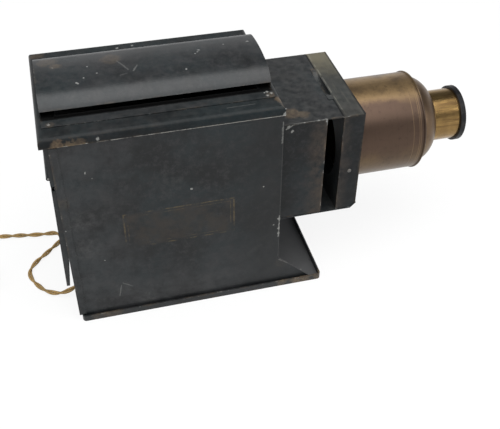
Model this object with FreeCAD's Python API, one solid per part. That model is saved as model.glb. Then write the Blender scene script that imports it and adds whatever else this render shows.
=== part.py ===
import FreeCAD, Part
import math
import os

# A magic lantern of japanned tinplate: lamphouse on a lipped tray, lift-off lid with a vent cowl,
# rear flap, condenser and slide stage, brass lens barrel and a sliding focus tube.
# Millimetres. +X points out of the lens, +Z up. Origin: centre of the tray's underside.

V = FreeCAD.Vector

# Sheet and clearances
SHEET = 0.8
PART_GAP = 0.3            # between pieces that lift or swing apart
RUN_FIT = 0.06            # radial clearance of a turning or sliding fit
SEAT_FIT = 0.08           # radial clearance of a seated round piece

# Base tray
BASE_LENGTH = 260.0
BASE_WIDTH = 160.0
BASE_CORNER = 4.0
LIP_HEIGHT = 7.0
LIP_THICK = 1.6

# Lamphouse walls
WALL_INSET = 3.4          # tray edge to the outer face of a side wall
REAR_INSET = 4.0          # tray edge to the rear edge of a side wall
FRONT_DECK = 48.6         # tray left open in front of the front wall
GUSSET_END_INSET = 9.6    # tray edge to the toe of a gusset
FLANGE = 9.0
HEM_WIDTH = 7.5
HEM_BACK = 6.5            # rear hem past the rear edge of its wall
HEADROOM = 32.2           # stage top to lid top
SILL_HEIGHT = 24.0

# Lid with its vent curb and cowl
LID_SKIRT = 9.5
LID_ROLL = 5.0            # outer radius of the lid's rolled edges
LID_REAR_OVERHANG = 4.0   # rear panel to lid end
CURB_HALF = 60.0
CURB_WIDTH = 13.5
CURB_LIP = 2.5
COWL_END_INSET = 5.0      # lid end to cowl end
COWL_HALF = 44.3
COWL_GAP = 7.0            # lid top to the cowl's lower edges
COWL_RISE = 13.8
CROWN_HALF = 26.0         # half width of the flatter crown
CROWN_DROP = 2.2          # crown centre to crown edge
CURB_RIVET = 2.0

# Rear panel and flap
REAR_DEPTH = 10.3         # rear edge of a side wall to the outer face of panel and flap
PANEL_LAP = 9.0
HINGE_HEIGHT = 175.5
FLAP_BOTTOM = 51.5
FLAP_FLANGE = 6.0
FLAP_FOOT = 3.2           # flange width at its trimmed lower end
FLAP_TRIM = 33.0          # height of that trim
FLAP_HEM = 3.0
FLAP_REST_ANGLE = 1.5     # how far the flap stands open, in degrees
KNUCKLE_RADIUS = 2.2
KNUCKLE_GAP = 0.3         # from plate edges to a knuckle
KNUCKLE_LENGTH = 24.0
KNUCKLES = 5
HINGE_PIN_RADIUS = 1.1

# Condenser housing, slide stage and front box
STAGE_FLOOR = 81.3
STAGE_HEIGHT = 117.0
STAGE_WIDTH = 123.8
STAGE_OVERHANG = 0.6      # top plate past the cheeks
CONDENSER_LENGTH = 49.1
SLOT_WIDTH = 17.0
FRONT_BOX_LENGTH = 21.8
CHAMFER_CLEAR = 0.8       # barrel to the front box's bevel
APERTURE_MARGIN = 4.5     # condenser cell to stage aperture
SPRING_WIDTH = 5.2
SPRING_SPAN = 44.0
SPRING_SAG = 7.0
SPRING_FOOT = 8.0
SPRING_THICK = 0.5
SPRING_SIDE_GAP = 0.6
RIVET_RADIUS = 2.2
RIVET_DROP = 9.0          # lens axis down to the cheek rivets

# Condenser
CELL_MARGIN = 8.0         # condenser cell to the stage's top and bottom plates
CELL_FLANGE = 4.5
CELL_TAIL = 6.0           # cell behind the front wall's outer face
RETAINER_WIDTH = 3.5
RETAINER_LENGTH = 2.0
LENS_EDGE = 3.0
LENS_SAG = 11.0
SPACER_WALL = 1.0

# Lens barrel, nozzle and focus tube
BARREL_MARGIN = 6.8       # barrel to the stage's top and bottom plates
BARREL_LENGTH = 76.0
BEAD_RADIUS = 1.1
NOZZLE_COLLAR = 9.0
NOZZLE_LENGTH = 21.5
NOZZLE_SHOULDER = 3.3     # flat step from the barrel's bore to the dome
DOME_FULLNESS = 0.65      # 0.5 for a cone, 0.71 for a quarter ellipse
FOCUS_RADIUS = 27.5
FOCUS_WALL = 0.7
FOCUS_LENGTH = 77.0
FOCUS_PROJECTION = 35.1   # nozzle to the front of the lens ring
SLEEVE_LENGTH = 60.0
RING_LENGTH = 5.5
RING_WALL = 2.5
RING_LIP = 2.0
FRONT_GLASS_EDGE = 2.4
FRONT_GLASS_SAG = 2.2
REAR_CELL_LENGTH = 9.0
REAR_CELL_LIP = 4.0
REAR_GLASS_EDGE = 2.2
REAR_GLASS_SAG = 2.0

# Lamp, lampholder and bracket
LAMP_BACK = 101.4         # front wall to lamp axis
BRACKET_HEIGHT = 27.0
BRACKET_LENGTH = 70.0
BRACKET_WIDTH = 60.0
BRACKET_FOOT = 10.0
BRACKET_SCREW = 2.5
HOLDER_FOOT_RADIUS = 19.0
HOLDER_FOOT_HEIGHT = 8.0
HOLDER_WALL = 3.2
SHELL_DEPTH = 24.0
SHELL_WALL = 0.7
THREAD_RADIUS = 13.2      # crests of the lamp cap
THREAD_DEPTH = 0.8
THREAD_PITCH = 3.6
THREAD_TURNS = 5
THREAD_CLEARANCE = 0.3
CONTACT_RADIUS = 3.5
CONTACT_HEIGHT = 3.0
CAP_TIP = 5.0             # insulator and contact below the thread
CAP_COLLAR = 4.0
GLOBE_RADIUS = 40.0
GLASS_WALL = 0.8
NECK_RADIUS = 12.2
NECK_JOIN = 32.0          # angle up the globe at which the neck joins it, in degrees
NECK_HOLLOW = 0.4         # how far the neck has flared half way up
STEM_RADIUS = 4.0
STEM_HEIGHT = 26.0
FILAMENT_WIRE = 0.35
FILAMENT_HALF = 11.0

# Mains cord: two twisted cores, drawn as one round tube
CORD_DIAMETER = 5.2
BUSH_SIDE = -36.0         # sideways place of the bush in the rear sill
BUSH_HEIGHT = 13.0
BUSH_RADIUS = 4.6
BUSH_RIM = 1.8
BUSH_RIM_THICK = 1.6
CORD_FLOOR = 2.75         # cord axis above the table
COIL_FLOOR = 3.9          # axis of the coil's lower layer, which lies on the tie
COIL_RADIUS = 40.0
COIL_STEP = 6.2           # inward step of the spiral in each full turn
COIL_LAYER = 5.9
COIL_TURNS = 4            # turns in each of the two layers
TIE_WIDTH = 7.0
TIE_THICK = 0.7
TIE_CLEAR = 0.5
CORD_RISE_RADIUS = 40.0
BEND_SHARE = 0.45         # share of a run taken up by the bend at its end
PLUG_RADIUS = 15.0
PLUG_LENGTH = 40.0
PLUG_NECK = 6.0
PLUG_TAPER = 26.0
PLUG_FLOOR_GAP = 0.2
PLUG_PIN_RADIUS = 2.0
PLUG_PIN_LENGTH = 19.0
PLUG_PIN_SPACING = 19.0

# Places worked out from the sizes above
wall_y = BASE_WIDTH / 2 - WALL_INSET
inner_y = wall_y - SHEET
rear_x = -BASE_LENGTH / 2 + REAR_INSET
front_x = BASE_LENGTH / 2 - FRONT_DECK
gusset = FRONT_DECK - GUSSET_END_INSET
stage_top = STAGE_FLOOR + STAGE_HEIGHT
axis_z = STAGE_FLOOR + STAGE_HEIGHT / 2
lid_top = stage_top + HEADROOM
lid_under = lid_top - SHEET
roll_inner = LID_ROLL - SHEET
# The lid sits with its rolled edges on the top edges of the walls.
wall_top = lid_under - roll_inner + math.sqrt(2 * roll_inner * PART_GAP - PART_GAP ** 2) - PART_GAP
skirt_bottom = lid_top - LID_SKIRT
panel_x = rear_x - REAR_DEPTH
lid_rear = panel_x - LID_REAR_OVERHANG
lid_front = front_x + PART_GAP + SHEET
lid_y = wall_y + PART_GAP + SHEET
stage_y = STAGE_WIDTH / 2
cheek_y = stage_y - STAGE_OVERHANG
slot_x = front_x + CONDENSER_LENGTH
box_x = slot_x + SLOT_WIDTH
board_x = box_x + FRONT_BOX_LENGTH
cell_radius = STAGE_HEIGHT / 2 - CELL_MARGIN
cell_bore = cell_radius - SHEET
aperture = cell_radius - APERTURE_MARGIN
barrel_radius = STAGE_HEIGHT / 2 - BARREL_MARGIN
front_chamfer = BARREL_MARGIN - CHAMFER_CLEAR
barrel_flange = CHAMFER_CLEAR + SHEET
barrel_end = board_x + BARREL_LENGTH
nozzle_end = barrel_end + NOZZLE_LENGTH
sleeve_bore = FOCUS_RADIUS + RUN_FIT
sleeve_radius = sleeve_bore + FOCUS_WALL
lens_end = nozzle_end + FOCUS_PROJECTION
lamp_x = front_x - LAMP_BACK
bracket_top = SHEET + BRACKET_HEIGHT
bush_face = rear_x - BUSH_RIM_THICK


def block(x0, x1, y0, y1, z0, z1):
    return Part.makeBox(x1 - x0, y1 - y0, z1 - z0, V(x0, y0, z0))


def outline(start, *steps):
    # Closed wire: each step is a point to draw a line to, or a (middle, end) pair for an arc.
    edges = []
    here = start
    for step in steps:
        if isinstance(step, tuple):
            edges.append(Part.Arc(here, step[0], step[1]).toShape())
            here = step[1]
        else:
            edges.append(Part.LineSegment(here, step).toShape())
            here = step
    edges.append(Part.LineSegment(here, start).toShape())
    return Part.Wire(edges)


def prism(wire, along):
    return Part.Face(wire).extrude(along)


def turned_on_lens_axis(start, *steps):
    # Points are (x, radius) pairs, turned about the lens axis.
    def place(p):
        return V(p[0], 0, axis_z + p[1])
    placed = [(place(s[0]), place(s[1])) if isinstance(s[0], tuple) else place(s) for s in steps]
    return Part.Face(outline(place(start), *placed)).revolve(V(0, 0, axis_z), V(1, 0, 0), 360)


def turned_on_lamp_axis(start, *steps):
    # Points are (radius, z) pairs, turned about the lamp's upright axis.
    def place(p):
        return V(lamp_x + p[0], 0, p[1])
    placed = [(place(s[0]), place(s[1])) if isinstance(s[0], tuple) else place(s) for s in steps]
    return Part.Face(outline(place(start), *placed)).revolve(V(lamp_x, 0, 0), V(0, 0, 1), 360)


def ring_on_lens_axis(x0, x1, inner, outer):
    return turned_on_lens_axis((x0, inner), (x1, inner), (x1, outer), (x0, outer))


def bore_on_lens_axis(x0, x1, radius):
    return Part.makeCylinder(radius, x1 - x0, V(x0, 0, axis_z), V(1, 0, 0))


def far_copy(shape):
    return shape.mirror(V(0, 0, 0), V(0, 1, 0))


def round_head(radius, base, direction):
    # A low domed rivet head sitting on a surface.
    height = radius / 2
    sphere_radius = (radius ** 2 + height ** 2) / (2 * height)
    ball = Part.makeSphere(sphere_radius, base + direction * (height - sphere_radius))
    cutter = Part.makeCylinder(2 * sphere_radius, height, base, direction)
    return ball.common(cutter)


def save(name, *solids):
    shape = solids[0] if len(solids) == 1 else Part.makeCompound(list(solids))
    shape.exportStep("parts/%s.step" % name)


os.makedirs("parts", exist_ok=True)


# Base tray: one sheet with an upturned, hemmed lip all round
def upright_edges(shape):
    return [e for e in shape.Edges if abs(e.BoundBox.ZLength - shape.BoundBox.ZLength) < 0.01]


tray = block(-BASE_LENGTH / 2, BASE_LENGTH / 2, -BASE_WIDTH / 2, BASE_WIDTH / 2, 0, LIP_HEIGHT)
tray = tray.makeFillet(BASE_CORNER, upright_edges(tray))
pocket = block(-BASE_LENGTH / 2 + LIP_THICK, BASE_LENGTH / 2 - LIP_THICK,
               -BASE_WIDTH / 2 + LIP_THICK, BASE_WIDTH / 2 - LIP_THICK, SHEET, LIP_HEIGHT + SHEET)
pocket = pocket.makeFillet(BASE_CORNER - LIP_THICK, upright_edges(pocket))
save("base_tray", tray.cut(pocket))

# Side walls: sheet with a gusset that runs out along the tray, a foot, a front flange and a rear hem
wall_outline = outline(V(rear_x, -wall_y, SHEET), V(front_x + gusset, -wall_y, SHEET),
                       V(front_x, -wall_y, SHEET + gusset), V(front_x, -wall_y, wall_top),
                       V(rear_x, -wall_y, wall_top))
near_wall = prism(wall_outline, V(0, SHEET, 0))
near_wall = near_wall.fuse([
    block(rear_x, front_x - SHEET, -inner_y, -inner_y + FLANGE, SHEET, 2 * SHEET),
    block(front_x - 2 * SHEET, front_x - SHEET, -inner_y, -inner_y + FLANGE, 2 * SHEET, wall_top),
    block(rear_x - HEM_BACK, rear_x - HEM_BACK + HEM_WIDTH, -wall_y - SHEET, -wall_y,
          LIP_HEIGHT + SHEET, skirt_bottom - SHEET),
]).removeSplitter()
save("near_side_wall", near_wall)
save("far_side_wall", far_copy(near_wall))

# Front wall with the condenser hole
front_wall = block(front_x - SHEET, front_x, -inner_y, inner_y, 2 * SHEET, wall_top)
front_wall = front_wall.fuse(block(front_x - SHEET, front_x + FLANGE, -inner_y, inner_y, SHEET, 2 * SHEET))
front_wall = front_wall.cut(bore_on_lens_axis(front_x - FLANGE, front_x + FLANGE, cell_radius + SEAT_FIT))
save("front_wall", front_wall.removeSplitter())

# Rear sill with the hole for the cord bush
sill = block(rear_x, rear_x + SHEET, -inner_y + FLANGE, inner_y - FLANGE, SHEET, SHEET + SILL_HEIGHT)
sill = sill.fuse(block(rear_x, rear_x + FLANGE, -inner_y + FLANGE, inner_y - FLANGE, SHEET, 2 * SHEET))
bush_centre = V(rear_x, BUSH_SIDE, BUSH_HEIGHT)
out_of_rear = V(-1, 0, 0)
sill_hole = Part.makeCylinder(BUSH_RADIUS, SHEET, bush_centre, -out_of_rear)
save("rear_sill", sill.cut(sill_hole).removeSplitter())

# Cord bush: a grommet with a rim on each side of the sill
bush_start = bush_centre - out_of_rear * (SHEET + BUSH_RIM_THICK)
bush_length = SHEET + 2 * BUSH_RIM_THICK
bush = Part.makeCylinder(BUSH_RADIUS + BUSH_RIM, bush_length, bush_start, out_of_rear)
groove = Part.makeCylinder(2 * BUSH_RADIUS, SHEET, bush_centre, -out_of_rear)
groove = groove.cut(Part.makeCylinder(BUSH_RADIUS, SHEET, bush_centre, -out_of_rear))
cord_way = Part.makeCylinder(CORD_DIAMETER / 2 + SEAT_FIT, bush_length, bush_start, out_of_rear)
save("cord_bush", bush.cut(groove).cut(cord_way))

# Rear upper panel with its hinge knuckles
hinge_axis = V(panel_x + SHEET - KNUCKLE_RADIUS, 0, HINGE_HEIGHT)
plate_edge = KNUCKLE_RADIUS + KNUCKLE_GAP
knuckle_row = KNUCKLES * KNUCKLE_LENGTH


def knuckles(first, plate_side):
    # Every second knuckle along the hinge, with a tongue up (1) or down (-1) to its plate.
    leaves = []
    for number in range(first, KNUCKLES, 2):
        y0 = -knuckle_row / 2 + number * KNUCKLE_LENGTH + KNUCKLE_GAP / 2
        y1 = y0 + KNUCKLE_LENGTH - KNUCKLE_GAP
        eye = Part.makeCylinder(KNUCKLE_RADIUS, y1 - y0, V(hinge_axis.x, y0, HINGE_HEIGHT), V(0, 1, 0))
        reach = HINGE_HEIGHT + plate_side * (plate_edge + SHEET)
        tongue = block(panel_x, panel_x + SHEET, y0, y1, min(HINGE_HEIGHT, reach), max(HINGE_HEIGHT, reach))
        leaves.append(eye.fuse(tongue))
    return leaves


def hinge_bore(radius):
    start = V(hinge_axis.x, -knuckle_row, HINGE_HEIGHT)
    return Part.makeCylinder(radius, 2 * knuckle_row, start, V(0, 1, 0))


panel_bottom = HINGE_HEIGHT + plate_edge
panel = block(panel_x, panel_x + SHEET, -inner_y, inner_y, panel_bottom, wall_top)
panel_flange = block(panel_x + SHEET, rear_x + PANEL_LAP, -inner_y, -inner_y + SHEET, panel_bottom, wall_top)
panel = panel.fuse([panel_flange, far_copy(panel_flange)] + knuckles(0, 1))
save("rear_upper_panel", panel.cut(hinge_bore(HINGE_PIN_RADIUS)).removeSplitter())

# Hinge pin, held in the panel's knuckles
pin_start = V(hinge_axis.x, -knuckle_row / 2, HINGE_HEIGHT)
save("hinge_pin", Part.makeCylinder(HINGE_PIN_RADIUS, knuckle_row, pin_start, V(0, 1, 0)))

# Rear flap: a shallow folded pan, drawn shut and then swung to where it stands
flap_top = HINGE_HEIGHT - plate_edge
flap = block(panel_x, panel_x + SHEET, -inner_y, inner_y, FLAP_BOTTOM, flap_top)
flange_outline = outline(
    V(panel_x + SHEET, -inner_y, FLAP_BOTTOM), V(panel_x + FLAP_FOOT, -inner_y, FLAP_BOTTOM),
    V(panel_x + FLAP_FLANGE, -inner_y, FLAP_BOTTOM + FLAP_TRIM), V(panel_x + FLAP_FLANGE, -inner_y, flap_top),
    V(panel_x + SHEET, -inner_y, flap_top))
flap_side = prism(flange_outline, V(0, SHEET, 0))
flap_hem = block(panel_x + SHEET, panel_x + FLAP_HEM, -inner_y + SHEET, inner_y - SHEET,
                 FLAP_BOTTOM, FLAP_BOTTOM + SHEET)
flap = flap.fuse([flap_side, far_copy(flap_side), flap_hem] + knuckles(1, -1))
flap = flap.cut(hinge_bore(HINGE_PIN_RADIUS + RUN_FIT)).removeSplitter()
flap.rotate(hinge_axis, V(0, 1, 0), FLAP_REST_ANGLE)
save("rear_flap", flap)

# Stage top plate with an upstand on the front wall and an opening for the slide spring
slot_middle = box_x - SPRING_WIDTH / 2 - SPRING_SIDE_GAP
spring_half = SPRING_SPAN / 2
top_plate = block(front_x, board_x, -stage_y, stage_y, stage_top, stage_top + SHEET)
top_plate = top_plate.fuse(block(front_x, front_x + SHEET, -stage_y, stage_y,
                                 stage_top + SHEET, stage_top + SHEET + FLANGE))
spring_opening = block(slot_middle - SPRING_WIDTH / 2 - SPRING_SIDE_GAP, box_x,
                       -spring_half - SHEET, spring_half + SHEET, stage_top - SHEET, stage_top + 2 * SHEET)
save("stage_top_plate", top_plate.cut(spring_opening).removeSplitter())

# Stage bottom plate, bent up at its front to meet the lens board
bend = SHEET / math.sqrt(2)
bottom_outline = outline(
    V(front_x, -stage_y, STAGE_FLOOR),
    V(board_x - front_chamfer, -stage_y, STAGE_FLOOR),
    V(board_x, -stage_y, STAGE_FLOOR + front_chamfer),
    V(board_x + bend, -stage_y, STAGE_FLOOR + front_chamfer - bend),
    V(board_x - front_chamfer + SHEET * math.tan(math.radians(22.5)), -stage_y, STAGE_FLOOR - SHEET),
    V(front_x + SHEET, -stage_y, STAGE_FLOOR - SHEET),
    V(front_x + SHEET, -stage_y, STAGE_FLOOR - SHEET - FLANGE),
    V(front_x, -stage_y, STAGE_FLOOR - SHEET - FLANGE))
save("stage_bottom_plate", prism(bottom_outline, V(0, STAGE_WIDTH, 0)))

# Condenser cheeks, each with a joining flange against the front wall
cheek = block(front_x, slot_x, -cheek_y, -cheek_y + SHEET, STAGE_FLOOR, stage_top)
cheek = cheek.fuse(block(front_x, front_x + SHEET, -cheek_y, -cheek_y + FLANGE, STAGE_FLOOR, stage_top))
cheek = cheek.cut(bore_on_lens_axis(front_x - FLANGE, slot_x, cell_radius + SEAT_FIT)).removeSplitter()
save("condenser_near_cheek", cheek)
save("condenser_far_cheek", far_copy(cheek))

# Stage plates either side of the slide slot
plate_y = cheek_y - SHEET


def stage_plate(x0):
    plate = block(x0, x0 + SHEET, -plate_y, plate_y, STAGE_FLOOR, stage_top)
    return plate.cut(bore_on_lens_axis(x0 - SHEET, x0 + 2 * SHEET, aperture))


save("stage_rear_plate", stage_plate(slot_x - SHEET))
save("stage_front_plate", stage_plate(box_x))

# Front box cheeks and the lens board
front_cheek_outline = outline(
    V(box_x, -cheek_y, STAGE_FLOOR), V(board_x - front_chamfer, -cheek_y, STAGE_FLOOR),
    V(board_x, -cheek_y, STAGE_FLOOR + front_chamfer), V(board_x, -cheek_y, stage_top),
    V(box_x, -cheek_y, stage_top))
front_cheek = prism(front_cheek_outline, V(0, SHEET, 0))
save("front_near_cheek", front_cheek)
save("front_far_cheek", far_copy(front_cheek))
board = block(board_x - SHEET, board_x, -plate_y, plate_y, STAGE_FLOOR + front_chamfer, stage_top)
board = board.cut(bore_on_lens_axis(board_x - FLANGE, board_x + FLANGE, barrel_radius + SEAT_FIT))
save("lens_board", board)
rivet_spot = V((box_x + board_x) / 2, -cheek_y, axis_z - RIVET_DROP)
cheek_rivet = round_head(RIVET_RADIUS, rivet_spot, V(0, -1, 0))
save("cheek_rivets", cheek_rivet, far_copy(cheek_rivet))

# Slide spring: a bowed leaf that dips through the top plate and bears on the slide carrier
spring_z = stage_top + SHEET
spring_x = slot_middle - SPRING_WIDTH / 2
spring_end = spring_half + SPRING_FOOT
spring_outline = outline(
    V(spring_x, -spring_end, spring_z),
    V(spring_x, -spring_half, spring_z),
    (V(spring_x, 0, spring_z - SPRING_SAG), V(spring_x, spring_half, spring_z)),
    V(spring_x, spring_end, spring_z),
    V(spring_x, spring_end, spring_z + SPRING_THICK),
    V(spring_x, spring_half, spring_z + SPRING_THICK),
    (V(spring_x, 0, spring_z - SPRING_SAG + SPRING_THICK), V(spring_x, -spring_half, spring_z + SPRING_THICK)),
    V(spring_x, -spring_end, spring_z + SPRING_THICK))
save("slide_spring", prism(spring_outline, V(SPRING_WIDTH, 0, 0)))

# Condenser: a flanged cell holding two plano-convex glasses, flat faces outwards
cell_start = front_x - CELL_TAIL
cell_end = slot_x - SHEET
flange_x = front_x - SHEET
save("condenser_cell", turned_on_lens_axis(
    (cell_start, cell_bore), (cell_end, cell_bore), (cell_end, cell_radius), (flange_x, cell_radius),
    (flange_x, cell_radius + CELL_FLANGE), (flange_x - SHEET, cell_radius + CELL_FLANGE),
    (flange_x - SHEET, cell_radius), (cell_start, cell_radius)))
glass_radius = cell_bore - SEAT_FIT


def plano_convex(flat_x, towards, radius, edge, sag):
    # The flat face stands at flat_x and the dome bulges along X by the sign of towards.
    rim_x = flat_x + towards * edge
    dome_radius = (radius ** 2 + sag ** 2) / (2 * sag)
    half_turn = math.asin(radius / dome_radius) / 2
    middle = (rim_x + towards * (sag - dome_radius * (1 - math.cos(half_turn))),
              dome_radius * math.sin(half_turn))
    return turned_on_lens_axis((flat_x, 0), (flat_x, radius), (rim_x, radius),
                               (middle, (rim_x + towards * sag, 0)))


rear_flat = cell_start + RETAINER_LENGTH
front_flat = cell_end
save("rear_condenser_lens", plano_convex(rear_flat, 1, glass_radius, LENS_EDGE, LENS_SAG))
save("front_condenser_lens", plano_convex(front_flat, -1, glass_radius, LENS_EDGE, LENS_SAG))
spacer_bore = glass_radius - SPACER_WALL
dome = (glass_radius ** 2 + LENS_SAG ** 2) / (2 * LENS_SAG)
dome_at_spacer = math.sqrt(dome ** 2 - spacer_bore ** 2) - (dome - LENS_SAG)
spacer_seat = LENS_EDGE + dome_at_spacer
save("condenser_spacer", ring_on_lens_axis(rear_flat + spacer_seat, front_flat - spacer_seat,
                                           spacer_bore, glass_radius))
save("condenser_retainer", ring_on_lens_axis(cell_start, rear_flat,
                                             glass_radius - RETAINER_WIDTH, glass_radius))

# Lens barrel: brass tube flanged behind the lens board, with a rolled bead at its mouth
barrel_bore = barrel_radius - SHEET
barrel_start = board_x - 2 * SHEET
bead_start = barrel_end - 2 * BEAD_RADIUS
bead_top = (barrel_end - BEAD_RADIUS, barrel_radius + BEAD_RADIUS)
save("lens_barrel", turned_on_lens_axis(
    (barrel_start, barrel_bore), (barrel_end, barrel_bore), (barrel_end, barrel_radius),
    (bead_top, (bead_start, barrel_radius)), (board_x - SHEET, barrel_radius),
    (board_x - SHEET, barrel_radius + barrel_flange), (barrel_start, barrel_radius + barrel_flange)))

# Nozzle: a spun dome from the barrel down to the focusing sleeve
collar = barrel_bore - SEAT_FIT
neck_bore = sleeve_radius + SEAT_FIT
neck = neck_bore + SHEET


def dome_middle(start_x, end_x, base, tip):
    # Middle point of the dome's profile between its base and its tip.
    return (start_x + (end_x - start_x) * DOME_FULLNESS, tip + (base - tip) * DOME_FULLNESS)


dome_base = collar - NOZZLE_SHOULDER
shoulder_back = barrel_end - SHEET
save("lens_nozzle", turned_on_lens_axis(
    (barrel_end - NOZZLE_COLLAR, collar - SHEET), (barrel_end - NOZZLE_COLLAR, collar), (barrel_end, collar),
    (barrel_end, dome_base), (dome_middle(barrel_end, nozzle_end, dome_base, neck), (nozzle_end, neck)),
    (nozzle_end, neck_bore), (nozzle_end - SHEET, neck_bore),
    (dome_middle(shoulder_back, nozzle_end - SHEET, dome_base - SHEET, neck_bore),
     (shoulder_back, dome_base - SHEET)), (shoulder_back, collar - SHEET)))
save("focus_sleeve", ring_on_lens_axis(nozzle_end - SLEEVE_LENGTH, nozzle_end, sleeve_bore, sleeve_radius))

# Focus tube with its lens ring, two glasses and the rear glass's cell
focus_bore = FOCUS_RADIUS - FOCUS_WALL
focus_front = lens_end - RING_LIP
focus_rear = focus_front - FOCUS_LENGTH
save("focus_tube", ring_on_lens_axis(focus_rear, focus_front, focus_bore, FOCUS_RADIUS))
ring_bore = FOCUS_RADIUS + SEAT_FIT
ring_radius = FOCUS_RADIUS + RING_WALL
mouth = focus_bore - RING_LIP
save("lens_ring", turned_on_lens_axis(
    (lens_end - RING_LENGTH, ring_bore), (focus_front, ring_bore), (focus_front, mouth), (lens_end, mouth),
    (lens_end, ring_radius), (lens_end - RING_LENGTH, ring_radius)))
objective_radius = focus_bore - SEAT_FIT
save("front_objective", plano_convex(focus_front, -1, objective_radius, FRONT_GLASS_EDGE, FRONT_GLASS_SAG))
cell_front = focus_rear + REAR_CELL_LENGTH
rear_seat = objective_radius - REAR_CELL_LIP / 2
save("objective_cell", turned_on_lens_axis(
    (focus_rear, objective_radius - REAR_CELL_LIP), (focus_rear, objective_radius),
    (cell_front, objective_radius), (cell_front, rear_seat),
    (focus_rear + RING_LIP, rear_seat), (focus_rear + RING_LIP, objective_radius - REAR_CELL_LIP)))
save("rear_objective", plano_convex(focus_rear + RING_LIP, 1, rear_seat - SEAT_FIT,
                                    REAR_GLASS_EDGE, REAR_GLASS_SAG))

# Lid pan: skirted all round with rolled edges and a long vent opening
lid = block(lid_rear, lid_front, -lid_y, lid_y, skirt_bottom, lid_top)
lid = lid.makeFillet(LID_ROLL, [e for e in lid.Edges if e.BoundBox.ZMin > lid_top - SHEET])
hollow = block(lid_rear + SHEET, lid_front - SHEET, -lid_y + SHEET, lid_y - SHEET,
               skirt_bottom - SHEET, lid_under)
hollow = hollow.makeFillet(roll_inner, [e for e in hollow.Edges if e.BoundBox.ZMin > lid_under - SHEET])
vent_y = CURB_HALF - CURB_WIDTH
cowl_rear = lid_rear + COWL_END_INSET
cowl_front = lid_front - COWL_END_INSET
vent_rear = cowl_rear + CURB_WIDTH
vent_front = cowl_front - CURB_WIDTH
vent = block(vent_rear, vent_front, -vent_y, vent_y, skirt_bottom, lid_top + LID_SKIRT)
save("lid_pan", lid.cut(hollow).cut(vent))

# Vent curb: a stiffening frame round the opening with its inner edge turned up
curb_top = lid_top + SHEET
curb = block(cowl_rear, cowl_front, -CURB_HALF, CURB_HALF, lid_top, curb_top)
curb = curb.fuse(block(vent_rear - SHEET, vent_front + SHEET, -vent_y - SHEET, vent_y + SHEET,
                       curb_top, curb_top + CURB_LIP))
save("vent_curb", curb.cut(vent).removeSplitter())

# Cowl: an arched sheet over the vent, open along both sides and closed by an end plate at each end
cowl_edge_z = lid_top + COWL_GAP
crown_radius = (CROWN_HALF ** 2 + CROWN_DROP ** 2) / (2 * CROWN_DROP)
crown_angle = math.asin(CROWN_HALF / crown_radius)
crown_centre_z = cowl_edge_z + COWL_RISE - crown_radius
fall = COWL_RISE - CROWN_DROP
run = COWL_HALF - CROWN_HALF
shoulder_lean = fall * math.cos(crown_angle) - run * math.sin(crown_angle)
shoulder_radius = (run ** 2 + fall ** 2) / (2 * shoulder_lean)
shoulder_y = CROWN_HALF - shoulder_radius * math.sin(crown_angle)
shoulder_z = cowl_edge_z + fall - shoulder_radius * math.cos(crown_angle)
edge_angle = math.atan2(COWL_HALF - shoulder_y, cowl_edge_z - shoulder_z)


def cowl_arch(x, inset):
    # From the far lower edge over the crown to the near lower edge, as arc steps for an outline.
    def shoulder(side, angle):
        radius = shoulder_radius - inset
        return V(x, side * (shoulder_y + radius * math.sin(angle)), shoulder_z + radius * math.cos(angle))
    crest = V(x, 0, cowl_edge_z + COWL_RISE - inset)
    middle = (crown_angle + edge_angle) / 2
    return [shoulder(1, edge_angle),
            (shoulder(1, middle), shoulder(1, crown_angle)),
            (crest, shoulder(-1, crown_angle)),
            (shoulder(-1, middle), shoulder(-1, edge_angle))]


def reversed_arch(arch):
    # The same arch drawn from its near lower edge back to the far one.
    ends = [arch[0]] + [step[1] for step in arch[1:]]
    middles = [step[0] for step in arch[1:]]
    return [ends[3], (middles[2], ends[2]), (middles[1], ends[1]), (middles[0], ends[0])]


outer_arch = cowl_arch(cowl_rear, 0)
inner_arch = cowl_arch(cowl_rear, SHEET)
cowl_length = cowl_front - cowl_rear
save("vent_cowl", prism(outline(*(outer_arch + reversed_arch(inner_arch))), V(cowl_length, 0, 0)))


def cowl_end(x0, inwards):
    arch = cowl_arch(x0, SHEET)
    far_low = arch[0]
    near_low = arch[3][1]
    plate = prism(outline(*(arch + [V(x0, near_low.y, curb_top), V(x0, far_low.y, curb_top)])),
                  V(inwards * SHEET, 0, 0))
    foot_x = sorted([x0 + inwards * SHEET, x0 + inwards * FLANGE])
    foot = block(foot_x[0], foot_x[1], near_low.y / 2, far_low.y / 2, curb_top, curb_top + SHEET)
    return plate.fuse(foot).removeSplitter()


save("cowl_rear_end", cowl_end(cowl_rear, 1))
save("cowl_front_end", cowl_end(cowl_front, -1))
rivet_y = CURB_HALF - CURB_WIDTH / 3
rivet_xs = [cowl_rear + CURB_WIDTH / 2, cowl_front - CURB_WIDTH / 2]
curb_rivets = [round_head(CURB_RIVET, V(x, y, curb_top), V(0, 0, 1))
               for x in rivet_xs for y in (-rivet_y, rivet_y)]
save("curb_rivets", *curb_rivets)

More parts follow.
